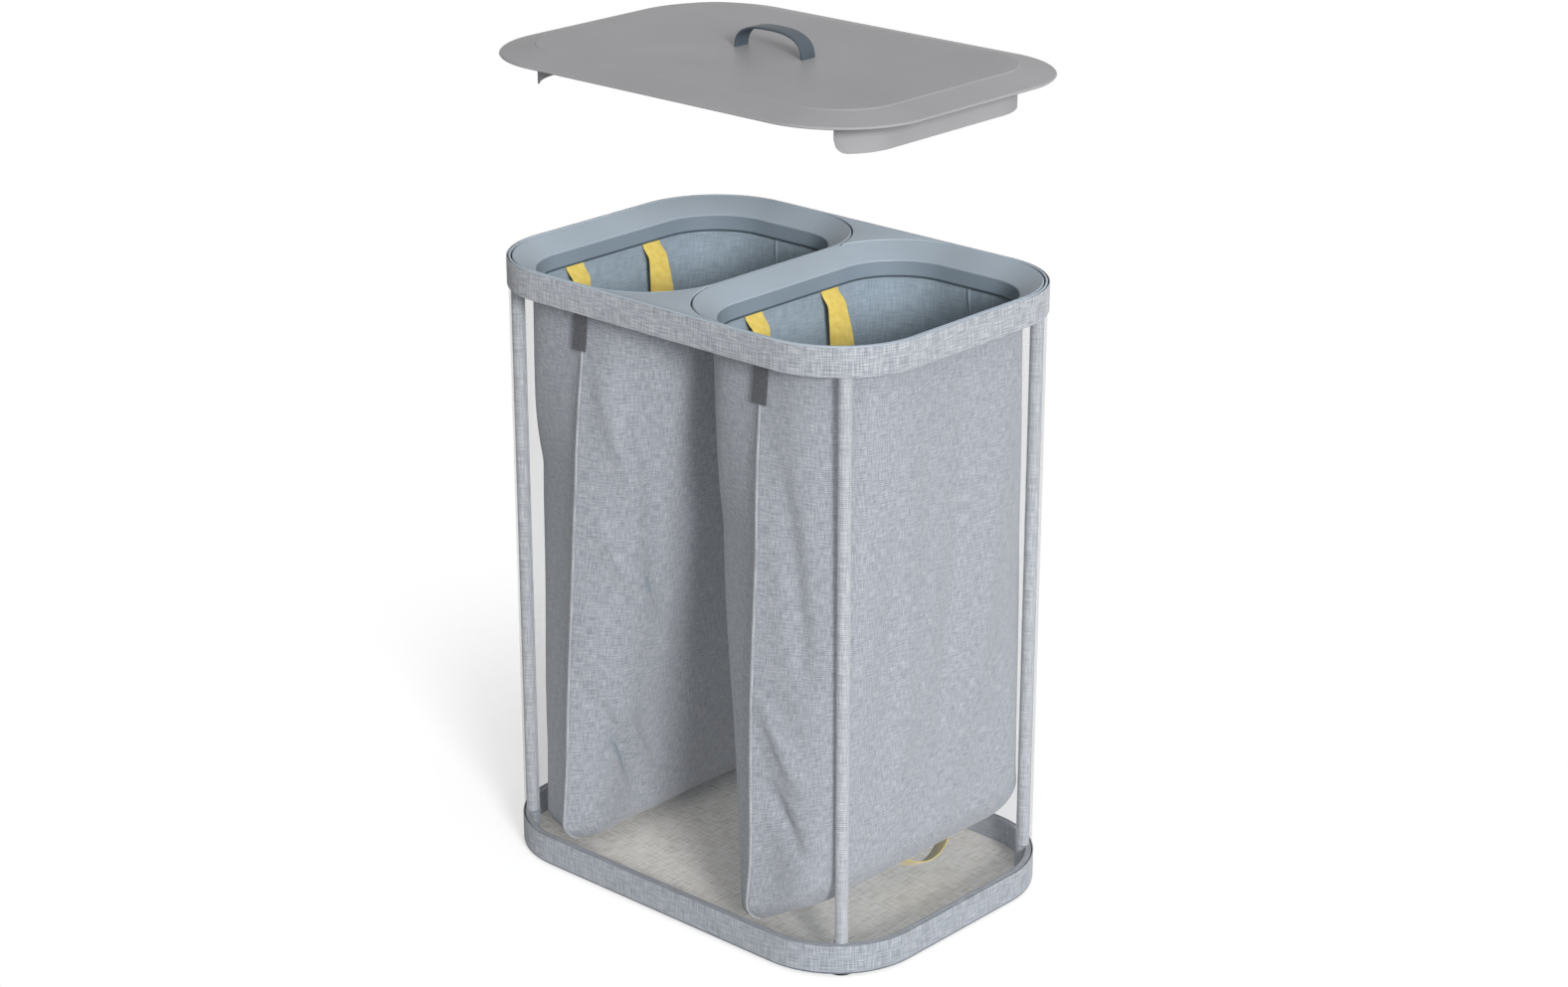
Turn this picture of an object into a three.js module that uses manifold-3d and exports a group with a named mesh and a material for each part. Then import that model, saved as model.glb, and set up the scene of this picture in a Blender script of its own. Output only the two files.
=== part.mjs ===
// Laundry hamper with two bins: a standing frame with a sheer mesh wall, two lift-out fabric
// bags that hang from plastic rims, and a lift-off lid.
// Millimetres, +Z up. The origin is on the floor, under the middle of the hamper.
// The long front faces -Y, and the two bags hang side by side along X.

import * as THREE from 'three';
import { LoftGeometry } from 'three/addons/geometries/LoftGeometry.js';
import { mergeVertices } from 'three/addons/utils/BufferGeometryUtils.js';
import Module from 'manifold-3d';

const wasm = await Module();
wasm.setup();

// Driving sizes of the whole hamper
const width = 540; // along X, over the fabric bands
const depth = 380; // along Y, over the fabric bands
const cornerRadius = 103; // of the outline seen from above
const rimHeight = 691; // floor to the top of the bag rims
const lidHover = 215; // how far the lid is held above its seat
const fitGap = 0.3; // between pieces that touch
const slideGap = 1.6; // round pieces that lift out
const cutOverrun = 5; // how far a cutter runs past what it cuts
const cornerSteps = 8; // facets of each rounded corner
const roundSteps = 16; // facets of posts, feet and bores

// Fabric bands round the base and the top, and the mesh between them
const bandHeight = 31;
const bandThickness = 1.2;
const meshThickness = 0.6;
const meshTuck = 4; // the base band hides the mesh down to this height above its lower edge
const pipingSize = 1.6; // cord sewn under the base band
const pipingInset = 0.4;

// Base: ring, floor board and feet
const footHeight = 5.7;
const footRadius = 16;
const footInset = 20; // foot centre in from the outline, at the corners
const footChamfer = 1;
const baseWall = 6.6; // thickness of the base ring
const baseFlange = 31; // reach of the base ring under the floor board
const baseFlangeThickness = 2;
const floorThickness = 2;

// Posts: a steel tube with a fabric sleeve, one in each corner
const postRadius = 6;
const postWall = 1.2;
const postInset = 11; // post centre in from the outline, at the corners
const sleeveThickness = 0.7;
const bossWall = 2.2; // plastic round a post's socket
const socketFloor = 1.2; // plastic left at the closed end of a socket

// Upper ring: wall, ledge for the rims and centre beam, with an edging and level fillers on it
const topWall = 2.2;
const ledgeReach = 4.4;
const ledgeThickness = 2.5;
const ledgeDrop = 12; // ledge below the rims' top
const bossDrop = 8; // top of a post's socket below the ledge
const beamWidth = 8;
const beamHeight = 15;
const fillerTip = 1; // width at which a filler's points are cut off

// Bag rims
const rimMiddleGap = 1; // between the two rims
const rimCrest = 1.2;
const rimThickness = 2.2;
const flangeReach = 24; // level width of the sloping flange
const flangeDrop = 15.5;
const flangeEdge = 0.8; // rounding where the flange turns down
const rimWallHeight = 19;

// Fabric bags
const fabricThickness = 2;
const bagStraight = 24; // hem that clasps the rim's inner wall
const bellyRadius = 32; // rounding of the bag's underside
const bagDepthSwell = 7; // how far the long sides belly out
const taperPower = 1.25; // over 1, so that the taper starts gently below the rim
const leftBagNarrowing = 66; // how much less half-width the left bag has low down
const leftBagCorner = 34; // its corner radius low down
const leftBagDrift = -39; // how far its foot hangs aside
const leftBagBottom = 22; // height of the middle of its underside
const leftBagSlantShare = 0.2; // rise of its underside along X, over the run
const rightBagNarrowing = 40;
const rightBagCorner = 50;
const rightBagDrift = 25;
const rightBagBottom = 42.5;
const rightBagSlantShare = 0.57;

// Webbing handles inside the bags, and grab loops under them
const handleWidth = 26;
const handleThickness = 1.6;
const handleSpan = 118; // between the two ends of a handle
const handleDrop = 185;
const handleLean = 6; // how far the loop swings off the fabric
const grabWidth = 20;
const grabSpan = 72;
const grabReach = 13; // how far its middle stands off the belly
const grabMiddleY = 38;
const leftGrabFromSide = 2.95; // in from the bag's outermost side at its bottom
const rightGrabFromSide = 46.95;

// Side tags on the front seams
const tagWidth = 18;
const tagHeight = 38;
const tagThickness = 3;
const tagDrop = 42; // top of the tag below the rims' top
const leftTagAside = 9; // beside the seam, towards the hamper's middle

// Lid
const lidOverhang = 1; // beyond the fabric bands
const lidSeat = 1; // lid edge above the rims' top when it is closed
const lidEdge = 3; // thickness of the rim edge
const lidThickness = 2.5;
const lidFlange = 37; // sloping border
const lidRise = 7.4; // of the border
const lidStep = 1; // the small step round the panel
const skirtThickness = 2;
const skirtDepth = 33; // below the lid's edge
const skirtRun = 67; // how far in from the lid's end a skirt begins
const skirtRounding = 14;
const lidHandleSpan = 92;
const lidHandleRise = 26;
const lidHandleWidth = 20;
const lidHandleThickness = 2.4;
const lidHandleTab = 13; // turned in under the lid
const keeperThickness = 2;
const keeperMargin = 3; // of the keeper plate round the tab

// Heights and insets worked out from the sizes above. An inset is measured in from the outline.
const baseBottom = footHeight + fitGap;
const baseTop = baseBottom + bandHeight;
const bandBottom = rimHeight - bandHeight;
const meshOuter = bandThickness + fitGap;
const meshInner = meshOuter + meshThickness;
const ringOuter = meshInner + fitGap;
const baseInner = ringOuter + baseWall;
const flangeTop = baseBottom + baseFlangeThickness;
const floorTop = flangeTop + fitGap + floorThickness;
const topInner = ringOuter + topWall;
const ledgeTop = rimHeight - ledgeDrop;
const bossRadius = postRadius + fitGap + bossWall;
const postBottom = flangeTop + socketFloor + fitGap;
const bossTop = ledgeTop - bossDrop;
const postTop = bossTop - socketFloor - fitGap;
const rimInset = topInner + slideGap;
const rimHalfX = (width - rimMiddleGap) / 4 - rimInset / 2;
const rimHalfY = depth / 2 - rimInset;
const rimCorner = cornerRadius - rimInset;
const rimMiddleX = rimMiddleGap / 2 + rimHalfX;
const wallInset = rimCrest + flangeReach; // of the rim's inner wall, in from the rim's outline
const wallTop = rimHeight - flangeDrop;
const wallBottom = wallTop - rimWallHeight;
const bagInset = wallInset - rimThickness - fitGap; // of the fabric's inner face
const flangeSlope = flangeDrop / flangeReach;
const flangeDepth = rimThickness * Math.hypot(1, flangeSlope); // measured straight down
const bagTop = wallTop - flangeDepth - fitGap;
const lidSeatHeight = rimHeight + lidSeat;
const skirtInset = lidFlange + lidThickness; // locating skirt in from the lid's edge
const skirtStart = width / 2 + lidOverhang - skirtRun;

// Geometry helpers

// A level ring of points: a rounded rectangle about the point (middleX, 0)
function roundedRing(halfX, halfY, radius, height, middleX = 0) {
  const points = [];
  const quarters = [[1, 1], [-1, 1], [-1, -1], [1, -1]];
  quarters.forEach(([signX, signY], quarter) => {
    for (let step = 0; step <= cornerSteps; step++) {
      const angle = (quarter + step / cornerSteps) * Math.PI / 2;
      const x = middleX + signX * (halfX - radius) + radius * Math.cos(angle);
      const y = signY * (halfY - radius) + radius * Math.sin(angle);
      points.push(new THREE.Vector3(x, y, height));
    }
  });
  return points;
}

// The same number of points, all at one place, to close a shape at its middle
function closingRing(height, middleX = 0) {
  return roundedRing(0, 0, 0, height, middleX);
}

const hamperRing = (inset, height) =>
  roundedRing(width / 2 - inset, depth / 2 - inset, cornerRadius - inset, height);

const rimRing = (inset, height) =>
  roundedRing(rimHalfX - inset, rimHalfY - inset, rimCorner - inset, height);

// A closed band: its profile of [inset, height] points starts up the outer face
function ringSolid(profile, ringAt) {
  return new LoftGeometry([...profile, profile[0]].map(([inset, height]) => ringAt(inset, height)));
}

const plainBand = (outer, inner, bottom, top) =>
  ringSolid([[outer, bottom], [outer, top], [inner, top], [inner, bottom]], hamperRing);

// An upright cylinder between two heights
function uprightCylinder(radius, bottom, top, x, y) {
  return new THREE.CylinderGeometry(radius, radius, top - bottom, roundSteps)
    .rotateX(Math.PI / 2)
    .translate(x, y, (bottom + top) / 2);
}

// A box by its lowest and highest corners
function cornerBox(low, high) {
  const size = high.map((value, axis) => value - low[axis]);
  const middle = high.map((value, axis) => (value + low[axis]) / 2);
  return new THREE.BoxGeometry(...size).translate(...middle);
}

// A flat strap that follows points: each section is square to the path, with its face turned
// along the normal that is given for the point
function strap(points, normals, strapWidth, thickness) {
  const sections = points.map((point, index) => {
    const before = points[Math.max(index - 1, 0)];
    const after = points[Math.min(index + 1, points.length - 1)];
    const along = new THREE.Vector3().subVectors(after, before).normalize();
    const across = new THREE.Vector3().crossVectors(normals[index], along).normalize();
    const face = new THREE.Vector3().crossVectors(along, across);
    return [[1, 1], [-1, 1], [-1, -1], [1, -1]].map(([acrossSign, faceSign]) => point.clone()
      .addScaledVector(across, acrossSign * strapWidth / 2)
      .addScaledVector(face, faceSign * thickness / 2));
  });
  return new LoftGeometry(sections, { capStart: true, capEnd: true });
}

// Corner places: the outline's corner arcs at 45 degrees, in from the edge
function cornerPlaces(inset) {
  const reach = (cornerRadius - inset) * Math.SQRT1_2;
  const x = width / 2 - cornerRadius + reach;
  const y = depth / 2 - cornerRadius + reach;
  return [
    ['front_left', -x, -y],
    ['front_right', x, -y],
    ['back_left', -x, y],
    ['back_right', x, y],
  ];
}

// Solids for joining and cutting
function toSolid(geometry) {
  const bare = new THREE.BufferGeometry().copy(geometry);
  bare.deleteAttribute('normal');
  bare.deleteAttribute('uv');
  const merged = mergeVertices(bare);
  return new wasm.Manifold(new wasm.Mesh({
    numProp: 3,
    vertProperties: merged.attributes.position.array,
    triVerts: new Uint32Array(merged.index.array),
  }));
}

function toGeometry(solid) {
  const { vertProperties, triVerts } = solid.getMesh();
  const geometry = new THREE.BufferGeometry();
  geometry.setAttribute('position', new THREE.BufferAttribute(vertProperties, 3));
  geometry.setIndex(new THREE.BufferAttribute(triVerts, 1));
  geometry.computeVertexNormals();
  return geometry;
}

// A geometry mirrored from side to side, with its faces turned round to match
function mirrorX(geometry) {
  return toGeometry(toSolid(geometry).mirror([1, 0, 0]));
}

function joined(parts, cuts = []) {
  const whole = parts.map(toSolid).reduce((sum, part) => sum.add(part));
  return toGeometry(cuts.map(toSolid).reduce((rest, cut) => rest.subtract(cut), whole));
}

// Materials
const finish = (color, roughness, metalness = 0) =>
  new THREE.MeshStandardMaterial({ color, roughness, metalness });

const bandFabric = () => finish('#a3abb8', 0.95);
const framePlastic = () => finish('#a9b4be', 0.5);
const rimPlastic = () => finish('#9aa8b2', 0.45);
const bagFabric = () => finish('#8d9aab', 0.95);
const yellowWebbing = () => finish('#dfb643', 0.8);
const lidPlastic = () => finish('#8d8e90', 0.45);

const meshCloth = () => {
  const material = finish('#d9dcdf', 0.9);
  material.transparent = true;
  material.opacity = 0.3;
  return material;
};

function addMesh(group, name, geometry, material) {
  const mesh = new THREE.Mesh(geometry, material);
  mesh.name = name;
  group.add(mesh);
}

// Base

function baseRing() {
  const flangeInner = baseInner + baseFlange;
  const ring = ringSolid([
    [ringOuter, baseBottom],
    [ringOuter, baseTop],
    [baseInner, baseTop],
    [baseInner, flangeTop],
    [flangeInner, flangeTop],
    [flangeInner, baseBottom],
  ], hamperRing);
  const places = cornerPlaces(postInset);
  const bosses = places.map(([, x, y]) => uprightCylinder(bossRadius, baseBottom, baseTop, x, y));
  const socketBottom = postBottom - fitGap;
  const sockets = places.map(([, x, y]) =>
    uprightCylinder(postRadius + fitGap, socketBottom, baseTop + cutOverrun, x, y));
  return joined([ring, ...bosses], sockets);
}

function basePiping() {
  const top = baseBottom - fitGap;
  return plainBand(pipingInset, pipingInset + pipingSize, top - pipingSize, top);
}

// The floor board is notched round the four post sockets
function floorBoard() {
  const inset = baseInner + fitGap;
  const bottom = flangeTop + fitGap;
  const board = new LoftGeometry([
    closingRing(bottom),
    hamperRing(inset, bottom),
    hamperRing(inset, floorTop),
    closingRing(floorTop),
  ]);
  const notches = cornerPlaces(postInset).map(([, x, y]) =>
    uprightCylinder(bossRadius + fitGap, bottom - cutOverrun, floorTop + cutOverrun, x, y));
  return joined([board], notches);
}

function foot() {
  const profile = [
    [0, 0],
    [footRadius - footChamfer, 0],
    [footRadius, footChamfer],
    [footRadius, footHeight],
    [0, footHeight],
  ].map(([radius, height]) => new THREE.Vector2(radius, height));
  return new THREE.LatheGeometry(profile, roundSteps).rotateX(Math.PI / 2);
}

// An open tube between two heights
function tube(outer, inner, bottom, top) {
  const profile = [[inner, bottom], [outer, bottom], [outer, top], [inner, top], [inner, bottom]]
    .map(([radius, height]) => new THREE.Vector2(radius, height));
  return new THREE.LatheGeometry(profile, roundSteps).rotateX(Math.PI / 2);
}

function addBase(group) {
  addMesh(group, 'base_ring', baseRing(), bandFabric());
  addMesh(group, 'base_band', plainBand(0, bandThickness, baseBottom, baseTop), bandFabric());
  addMesh(group, 'base_piping', basePiping(), finish('#c9ced4', 0.8));
  addMesh(group, 'floor_board', floorBoard(), finish('#c3bcae', 0.95));
  for (const [place, x, y] of cornerPlaces(footInset)) {
    addMesh(group, 'foot_' + place, foot().translate(x, y, 0), finish('#202123', 0.9));
  }
}

// Posts and mesh wall

function addPosts(group) {
  const sleeveBottom = baseTop + fitGap;
  const sleeveTop = bandBottom - fitGap;
  const sleeveInner = postRadius + fitGap;
  const post = tube(postRadius, postRadius - postWall, postBottom, postTop);
  const sleeve = tube(sleeveInner + sleeveThickness, sleeveInner, sleeveBottom, sleeveTop);
  for (const [place, x, y] of cornerPlaces(postInset)) {
    addMesh(group, 'post_' + place, post.clone().translate(x, y, 0), finish('#b9bcc0', 0.4, 1));
    addMesh(group, 'sleeve_' + place, sleeve.clone().translate(x, y, 0), bandFabric());
  }
}

// The mesh ends level with the ledge's underside, behind the upper band
function meshWall() {
  return plainBand(meshOuter, meshInner, baseBottom + meshTuck, ledgeTop - ledgeThickness);
}

// Top

// One half of the level piece between the rims' rounded corners, at the front right. Its
// hollow side is an arc round the corner of the rim.
function halfFiller() {
  const arcX = rimMiddleGap / 2 + rimCorner;
  const arcY = rimHalfY - rimCorner;
  const arcRadius = rimCorner + slideGap;
  const middle = fitGap / 2;
  const wallY = depth / 2 - topInner - fitGap;
  const thinAngle = Math.acos((wallY - fillerTip - arcY) / arcRadius);
  const tipAngle = Math.acos((arcX - fillerTip) / arcRadius);
  const outline = new THREE.Shape();
  outline.moveTo(middle, -arcY - arcRadius * Math.sin(tipAngle));
  outline.lineTo(middle, -wallY);
  outline.lineTo(arcX - arcRadius * Math.sin(thinAngle), -wallY);
  outline.absarc(arcX, -arcY, arcRadius, Math.PI * 3 / 2 - thinAngle, Math.PI + tipAngle, true);
  const bottom = ledgeTop + fitGap;
  return new THREE.ExtrudeGeometry(outline, {
    depth: rimHeight - bottom,
    bevelEnabled: false,
    curveSegments: cornerSteps,
  }).translate(0, 0, bottom);
}

// A half filler turned or mirrored to each of its four places
function addFillers(group) {
  const front = halfFiller();
  const mirrored = mirrorX(front);
  addMesh(group, 'filler_front_right', front, framePlastic());
  addMesh(group, 'filler_front_left', mirrored, framePlastic());
  addMesh(group, 'filler_back_left', front.clone().rotateZ(Math.PI), framePlastic());
  addMesh(group, 'filler_back_right', mirrored.clone().rotateZ(Math.PI), framePlastic());
}

// The edging that stands on the upper ring's wall, as four straight lengths and four corners
function addEdging(group) {
  const bottom = ledgeTop + fitGap;
  const band = toSolid(plainBand(ringOuter, topInner, bottom, rimHeight));
  const straightX = width / 2 - cornerRadius;
  const straightY = depth / 2 - cornerRadius;
  const add = (name, low, high) => addMesh(group, 'edging_' + name,
    toGeometry(band.intersect(toSolid(cornerBox([...low, bottom], [...high, rimHeight])))),
    framePlastic());
  const endX = straightX - fitGap;
  const endY = straightY - fitGap;
  add('front', [-endX, -depth / 2], [endX, -straightY]);
  add('back', [-endX, straightY], [endX, depth / 2]);
  add('left', [-width / 2, -endY], [-straightX, endY]);
  add('right', [straightX, -endY], [width / 2, endY]);
  add('front_left', [-width / 2, -depth / 2], [-straightX, -straightY]);
  add('front_right', [straightX, -depth / 2], [width / 2, -straightY]);
  add('back_left', [-width / 2, straightY], [-straightX, depth / 2]);
  add('back_right', [straightX, straightY], [width / 2, depth / 2]);
}

function topRing() {
  const ledgeInner = topInner + ledgeReach;
  const ledgeBottom = ledgeTop - ledgeThickness;
  const ring = ringSolid([
    [ringOuter, bandBottom],
    [ringOuter, ledgeTop],
    [ledgeInner, ledgeTop],
    [ledgeInner, ledgeBottom],
    [topInner, ledgeBottom],
    [topInner, bandBottom],
  ], hamperRing);
  const beamEnd = depth / 2 - (ringOuter + topInner) / 2;
  const beam = cornerBox(
    [-beamWidth / 2, -beamEnd, ledgeTop - beamHeight],
    [beamWidth / 2, beamEnd, ledgeTop],
  );
  const places = cornerPlaces(postInset);
  const bosses = places.map(([, x, y]) => uprightCylinder(bossRadius, bandBottom, bossTop, x, y));
  const sockets = places.map(([, x, y]) =>
    uprightCylinder(postRadius + fitGap, bandBottom - cutOverrun, postTop + fitGap, x, y));
  return joined([ring, beam, ...bosses], sockets);
}

function addTop(group) {
  const bandTop = rimHeight - fitGap;
  addMesh(group, 'top_ring', topRing(), framePlastic());
  addEdging(group);
  addFillers(group);
  addMesh(group, 'top_band', plainBand(0, bandThickness, bandBottom, bandTop), bandFabric());
}

// Bag rims: a skirt that stands on the ledge, a flange that slopes in, and an inner wall

function bagRim() {
  const flangeUnder = (inset) => rimHeight - flangeSlope * (inset - rimCrest) - flangeDepth;
  const wallOuter = wallInset - rimThickness;
  return ringSolid([
    [0, ledgeTop + fitGap],
    [0, rimHeight - rimCrest],
    [rimCrest, rimHeight],
    [wallInset - flangeEdge, wallTop + flangeSlope * flangeEdge],
    [wallInset, wallTop - flangeEdge],
    [wallInset, wallBottom],
    [wallOuter, wallBottom],
    [wallOuter, flangeUnder(wallOuter)],
    [rimThickness, flangeUnder(rimThickness)],
    [rimThickness, ledgeTop + fitGap],
  ], rimRing);
}

// How the bag's section changes with height: a straight hem, then a taper that grows downwards,
// with the long sides bellied out and the corners sharper low down
function bagSection(bag, height) {
  const taperTop = bagTop - bagStraight;
  const taperBottom = bag.bottom + bellyRadius;
  const share = THREE.MathUtils.clamp((taperTop - height) / (taperTop - taperBottom), 0, 1);
  const taper = share ** taperPower;
  return {
    halfX: rimHalfX - bagInset - bag.narrowing * taper,
    halfY: rimHalfY - bagInset + bagDepthSwell * Math.sin(share * Math.PI / 2),
    radius: THREE.MathUtils.lerp(rimCorner - bagInset, bag.corner, taper),
    middleX: bag.drift * taper,
    slant: bag.slant * share ** 3,
  };
}

// One ring of a skin of the bag, with the section of one height, drawn at another, and grown
// outwards. It slants as much as the bag does there.
function bagRing(bag, sectionHeight, growth, height = sectionHeight) {
  const { halfX, halfY, radius, middleX, slant } = bagSection(bag, sectionHeight);
  const corner = Math.max(radius + growth, fabricThickness);
  return roundedRing(halfX + growth, halfY + growth, corner, height, middleX)
    .map((point) => point.setZ(height + slant * (point.x - middleX)));
}

// One skin of the bag, from the middle of its underside to its hem
function bagSkin(bag, growth) {
  const bellySteps = 4;
  const wallSteps = 7;
  const bellyTop = bag.bottom + bellyRadius;
  const skinRadius = bellyRadius - fabricThickness + growth;
  const rings = [closingRing(bellyTop - skinRadius, bagSection(bag, bellyTop).middleX)];
  for (let step = 0; step < bellySteps; step++) {
    const angle = (1 - step / bellySteps) * Math.PI / 2;
    const inward = skinRadius * (1 - Math.cos(angle));
    rings.push(bagRing(bag, bellyTop, growth - inward, bellyTop - skinRadius * Math.sin(angle)));
  }
  for (let step = 0; step <= wallSteps; step++) {
    const height = THREE.MathUtils.lerp(bellyTop, bagTop - bagStraight, step / wallSteps);
    rings.push(bagRing(bag, height, growth));
  }
  rings.push(bagRing(bag, bagTop, growth));
  return rings;
}

function bagBody(bag) {
  return new LoftGeometry([...bagSkin(bag, fabricThickness), ...bagSkin(bag, 0).reverse()]);
}

// A handle: a webbing loop that hangs along a long wall inside the bag. Its two ends are sewn
// flat under the rim's inner wall. Each leg makes a quarter twist on its way down, so that the
// webbing goes round the bottom of the loop edge on to the wall. The loop on one wall is the
// other one turned half round.
function bagHandle(bag, side) {
  const legSteps = 6;
  const turnSteps = 12;
  const top = wallBottom - fitGap;
  const turnRadius = handleSpan / 2;
  const turnTop = top - (handleDrop - turnRadius);
  const points = [];
  const normals = [];
  const addPoint = (y, height, twist, inPlane) => {
    const { halfX, middleX } = bagSection(bag, height);
    const reach = (handleWidth * Math.sin(twist) + handleThickness * Math.cos(twist)) / 2;
    const swing = handleLean * (top - height) / handleDrop;
    const x = middleX + side * (halfX - fitGap - reach - swing);
    points.push(new THREE.Vector3(x, -side * y, height));
    normals.push(new THREE.Vector3(side * Math.cos(twist), -side * inPlane.y * Math.sin(twist),
      inPlane.z * Math.sin(twist)));
  };
  const addLeg = (step, legSide) => {
    const share = step / legSteps;
    const twist = THREE.MathUtils.smoothstep(share, 0, 1) * Math.PI / 2;
    const height = THREE.MathUtils.lerp(top, turnTop, share);
    addPoint(legSide * turnRadius, height, twist, new THREE.Vector3(0, legSide, 0));
  };
  for (let step = 0; step < legSteps; step++) addLeg(step, -1);
  for (let step = 0; step <= turnSteps; step++) {
    const angle = Math.PI * step / turnSteps;
    const outward = new THREE.Vector3(0, -Math.cos(angle), -Math.sin(angle));
    addPoint(turnRadius * outward.y, turnTop + turnRadius * outward.z, Math.PI / 2, outward);
  }
  for (let step = legSteps - 1; step >= 0; step--) addLeg(step, 1);
  return strap(points, normals, handleWidth, handleThickness);
}

// A grab loop sewn along the bag's underside, square to its slanted and rounded surface: both
// ends lie on the fabric, and the middle stands off
function grabLoop(bag) {
  const archSteps = 10;
  const { halfX, middleX, slant } = bagSection(bag, bag.bottom);
  const past = THREE.MathUtils.clamp(1 - bag.grabFromSide / bellyRadius, 0, 1);
  const turn = Math.acos(past); // round the belly, from level
  const aside = bag.side * (halfX + fabricThickness - bag.grabFromSide);
  const surfaceZ = bag.bottom + bellyRadius * (1 - Math.sin(turn)) + slant * aside;
  const outward = new THREE.Vector3(bag.side * past + slant * Math.sin(turn), 0, -Math.sin(turn))
    .normalize();
  const onFabric = fitGap + handleThickness / 2;
  const points = [];
  for (let step = 0; step <= archSteps; step++) {
    const angle = Math.PI * step / archSteps;
    points.push(new THREE.Vector3(middleX + aside, grabMiddleY, surfaceZ)
      .addScaledVector(outward, onFabric + grabReach * Math.sin(angle) ** 2)
      .add(new THREE.Vector3(0, -Math.cos(angle) * grabSpan / 2, 0)));
  }
  return strap(points, points.map(() => outward), grabWidth, handleThickness);
}

// A tag sewn into the front seam, folded double
function sideTag(bag) {
  const top = rimHeight - tagDrop;
  const section = bagSection(bag, top - tagHeight);
  const back = -section.halfY - fabricThickness - fitGap;
  const outline = new THREE.Shape();
  const bend = tagThickness / 2;
  outline.moveTo(back - tagThickness, top);
  outline.lineTo(back - tagThickness, top - tagHeight + bend);
  outline.absarc(back - bend, top - tagHeight + bend, bend, Math.PI, 2 * Math.PI, false);
  outline.lineTo(back, top);
  return new THREE.ExtrudeGeometry(outline, {
    depth: tagWidth,
    bevelEnabled: false,
    curveSegments: cornerSteps,
  })
    .rotateX(Math.PI / 2)
    .rotateZ(Math.PI / 2)
    .translate(bag.tagAside - tagWidth / 2, 0, 0);
}

function addBag(group, bag) {
  const whole = new THREE.Group();
  whole.position.x = bag.side * rimMiddleX;
  addMesh(whole, bag.name + '_rim', bagRim(), rimPlastic());
  addMesh(whole, bag.name + '_body', bagBody(bag), bagFabric());
  addMesh(whole, bag.name + '_handle_west', bagHandle(bag, -1), yellowWebbing());
  addMesh(whole, bag.name + '_handle_east', bagHandle(bag, 1), yellowWebbing());
  addMesh(whole, bag.name + '_grab_loop', grabLoop(bag), yellowWebbing());
  addMesh(whole, bag.name + '_tag', sideTag(bag), finish('#5c5d60', 0.9));
  group.add(whole);
}

// Lid, drawn with its lower edge at height zero

const lidRing = (inset, height) => hamperRing(inset - lidOverhang, height);

function lidShell() {
  const panelTop = lidEdge + lidRise + lidStep;
  const panelUnder = panelTop - lidThickness;
  const edgeRound = lidEdge / 2;
  const shell = new LoftGeometry([
    closingRing(panelUnder),
    lidRing(lidFlange + lidThickness, panelUnder),
    lidRing(lidFlange, panelUnder - lidStep),
    lidRing(edgeRound, 0),
    lidRing(0, edgeRound),
    lidRing(edgeRound, lidEdge),
    lidRing(lidFlange, lidEdge + lidRise),
    lidRing(lidFlange + lidStep, panelTop),
    closingRing(panelTop),
  ]);
  const slots = [-1, 1].map((side) => handleSlot(side, panelUnder, panelTop));
  return joined([shell], slots);
}

// The locating skirt at the right end, under the edge of the panel
function lidSkirt() {
  const top = lidEdge + lidRise + lidStep - lidThickness - fitGap;
  const inner = skirtInset + skirtThickness;
  const whole = ringSolid([
    [skirtInset, -skirtDepth],
    [skirtInset, top],
    [inner, top],
    [inner, -skirtDepth],
  ], lidRing);
  return toGeometry(toSolid(whole).intersect(toSolid(skirtEnd(top))));
}

// What is kept of the skirt at one end: everything past its start, with a rounded lower corner
function skirtEnd(top) {
  const outline = new THREE.Shape();
  outline.moveTo(skirtStart, top);
  outline.lineTo(skirtStart, skirtRounding - skirtDepth);
  outline.absarc(skirtStart + skirtRounding, skirtRounding - skirtDepth, skirtRounding,
    Math.PI, Math.PI * 3 / 2, false);
  outline.lineTo(width / 2, -skirtDepth);
  outline.lineTo(width / 2, top);
  return new THREE.ExtrudeGeometry(outline, {
    depth,
    bevelEnabled: false,
    curveSegments: cornerSteps,
  })
    .rotateX(Math.PI / 2)
    .translate(0, depth / 2, 0);
}

function handleSlot(side, panelUnder, panelTop) {
  const halfX = lidHandleThickness / 2 + fitGap;
  const halfY = lidHandleWidth / 2 + fitGap;
  const x = side * lidHandleSpan / 2;
  return cornerBox(
    [x - halfX, -halfY, panelUnder - cutOverrun],
    [x + halfX, halfY, panelTop + cutOverrun],
  );
}

// The lid's handle: an arched strap whose ends go through the lid and turn in under it
function lidHandle() {
  const archSteps = 16;
  const squareness = 2.6; // of the arch, where 2 is an ellipse
  const panelTop = lidEdge + lidRise + lidStep;
  const tabHeight = panelTop - lidThickness - fitGap - lidHandleThickness / 2;
  const halfSpan = lidHandleSpan / 2;
  const points = [];
  const normals = [];
  const add = (x, height, normalX, normalZ) => {
    points.push(new THREE.Vector3(x, 0, height));
    normals.push(new THREE.Vector3(normalX, 0, normalZ));
  };
  add(lidHandleTab - halfSpan, tabHeight, 0, -1);
  add(-halfSpan, tabHeight, -1, -1);
  for (let step = 0; step <= archSteps; step++) {
    const angle = Math.PI * (1 - step / archSteps);
    const cos = Math.cos(angle);
    const sin = Math.sin(angle);
    const x = Math.sign(cos) * Math.abs(cos) ** (2 / squareness) * halfSpan;
    const rise = Math.abs(sin) ** (2 / squareness) * (lidHandleRise - lidHandleThickness / 2);
    add(x, panelTop + rise, cos, sin);
  }
  add(halfSpan, tabHeight, 1, -1);
  add(halfSpan - lidHandleTab, tabHeight, 0, -1);
  return strap(points, normals, lidHandleWidth, lidHandleThickness);
}

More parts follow.
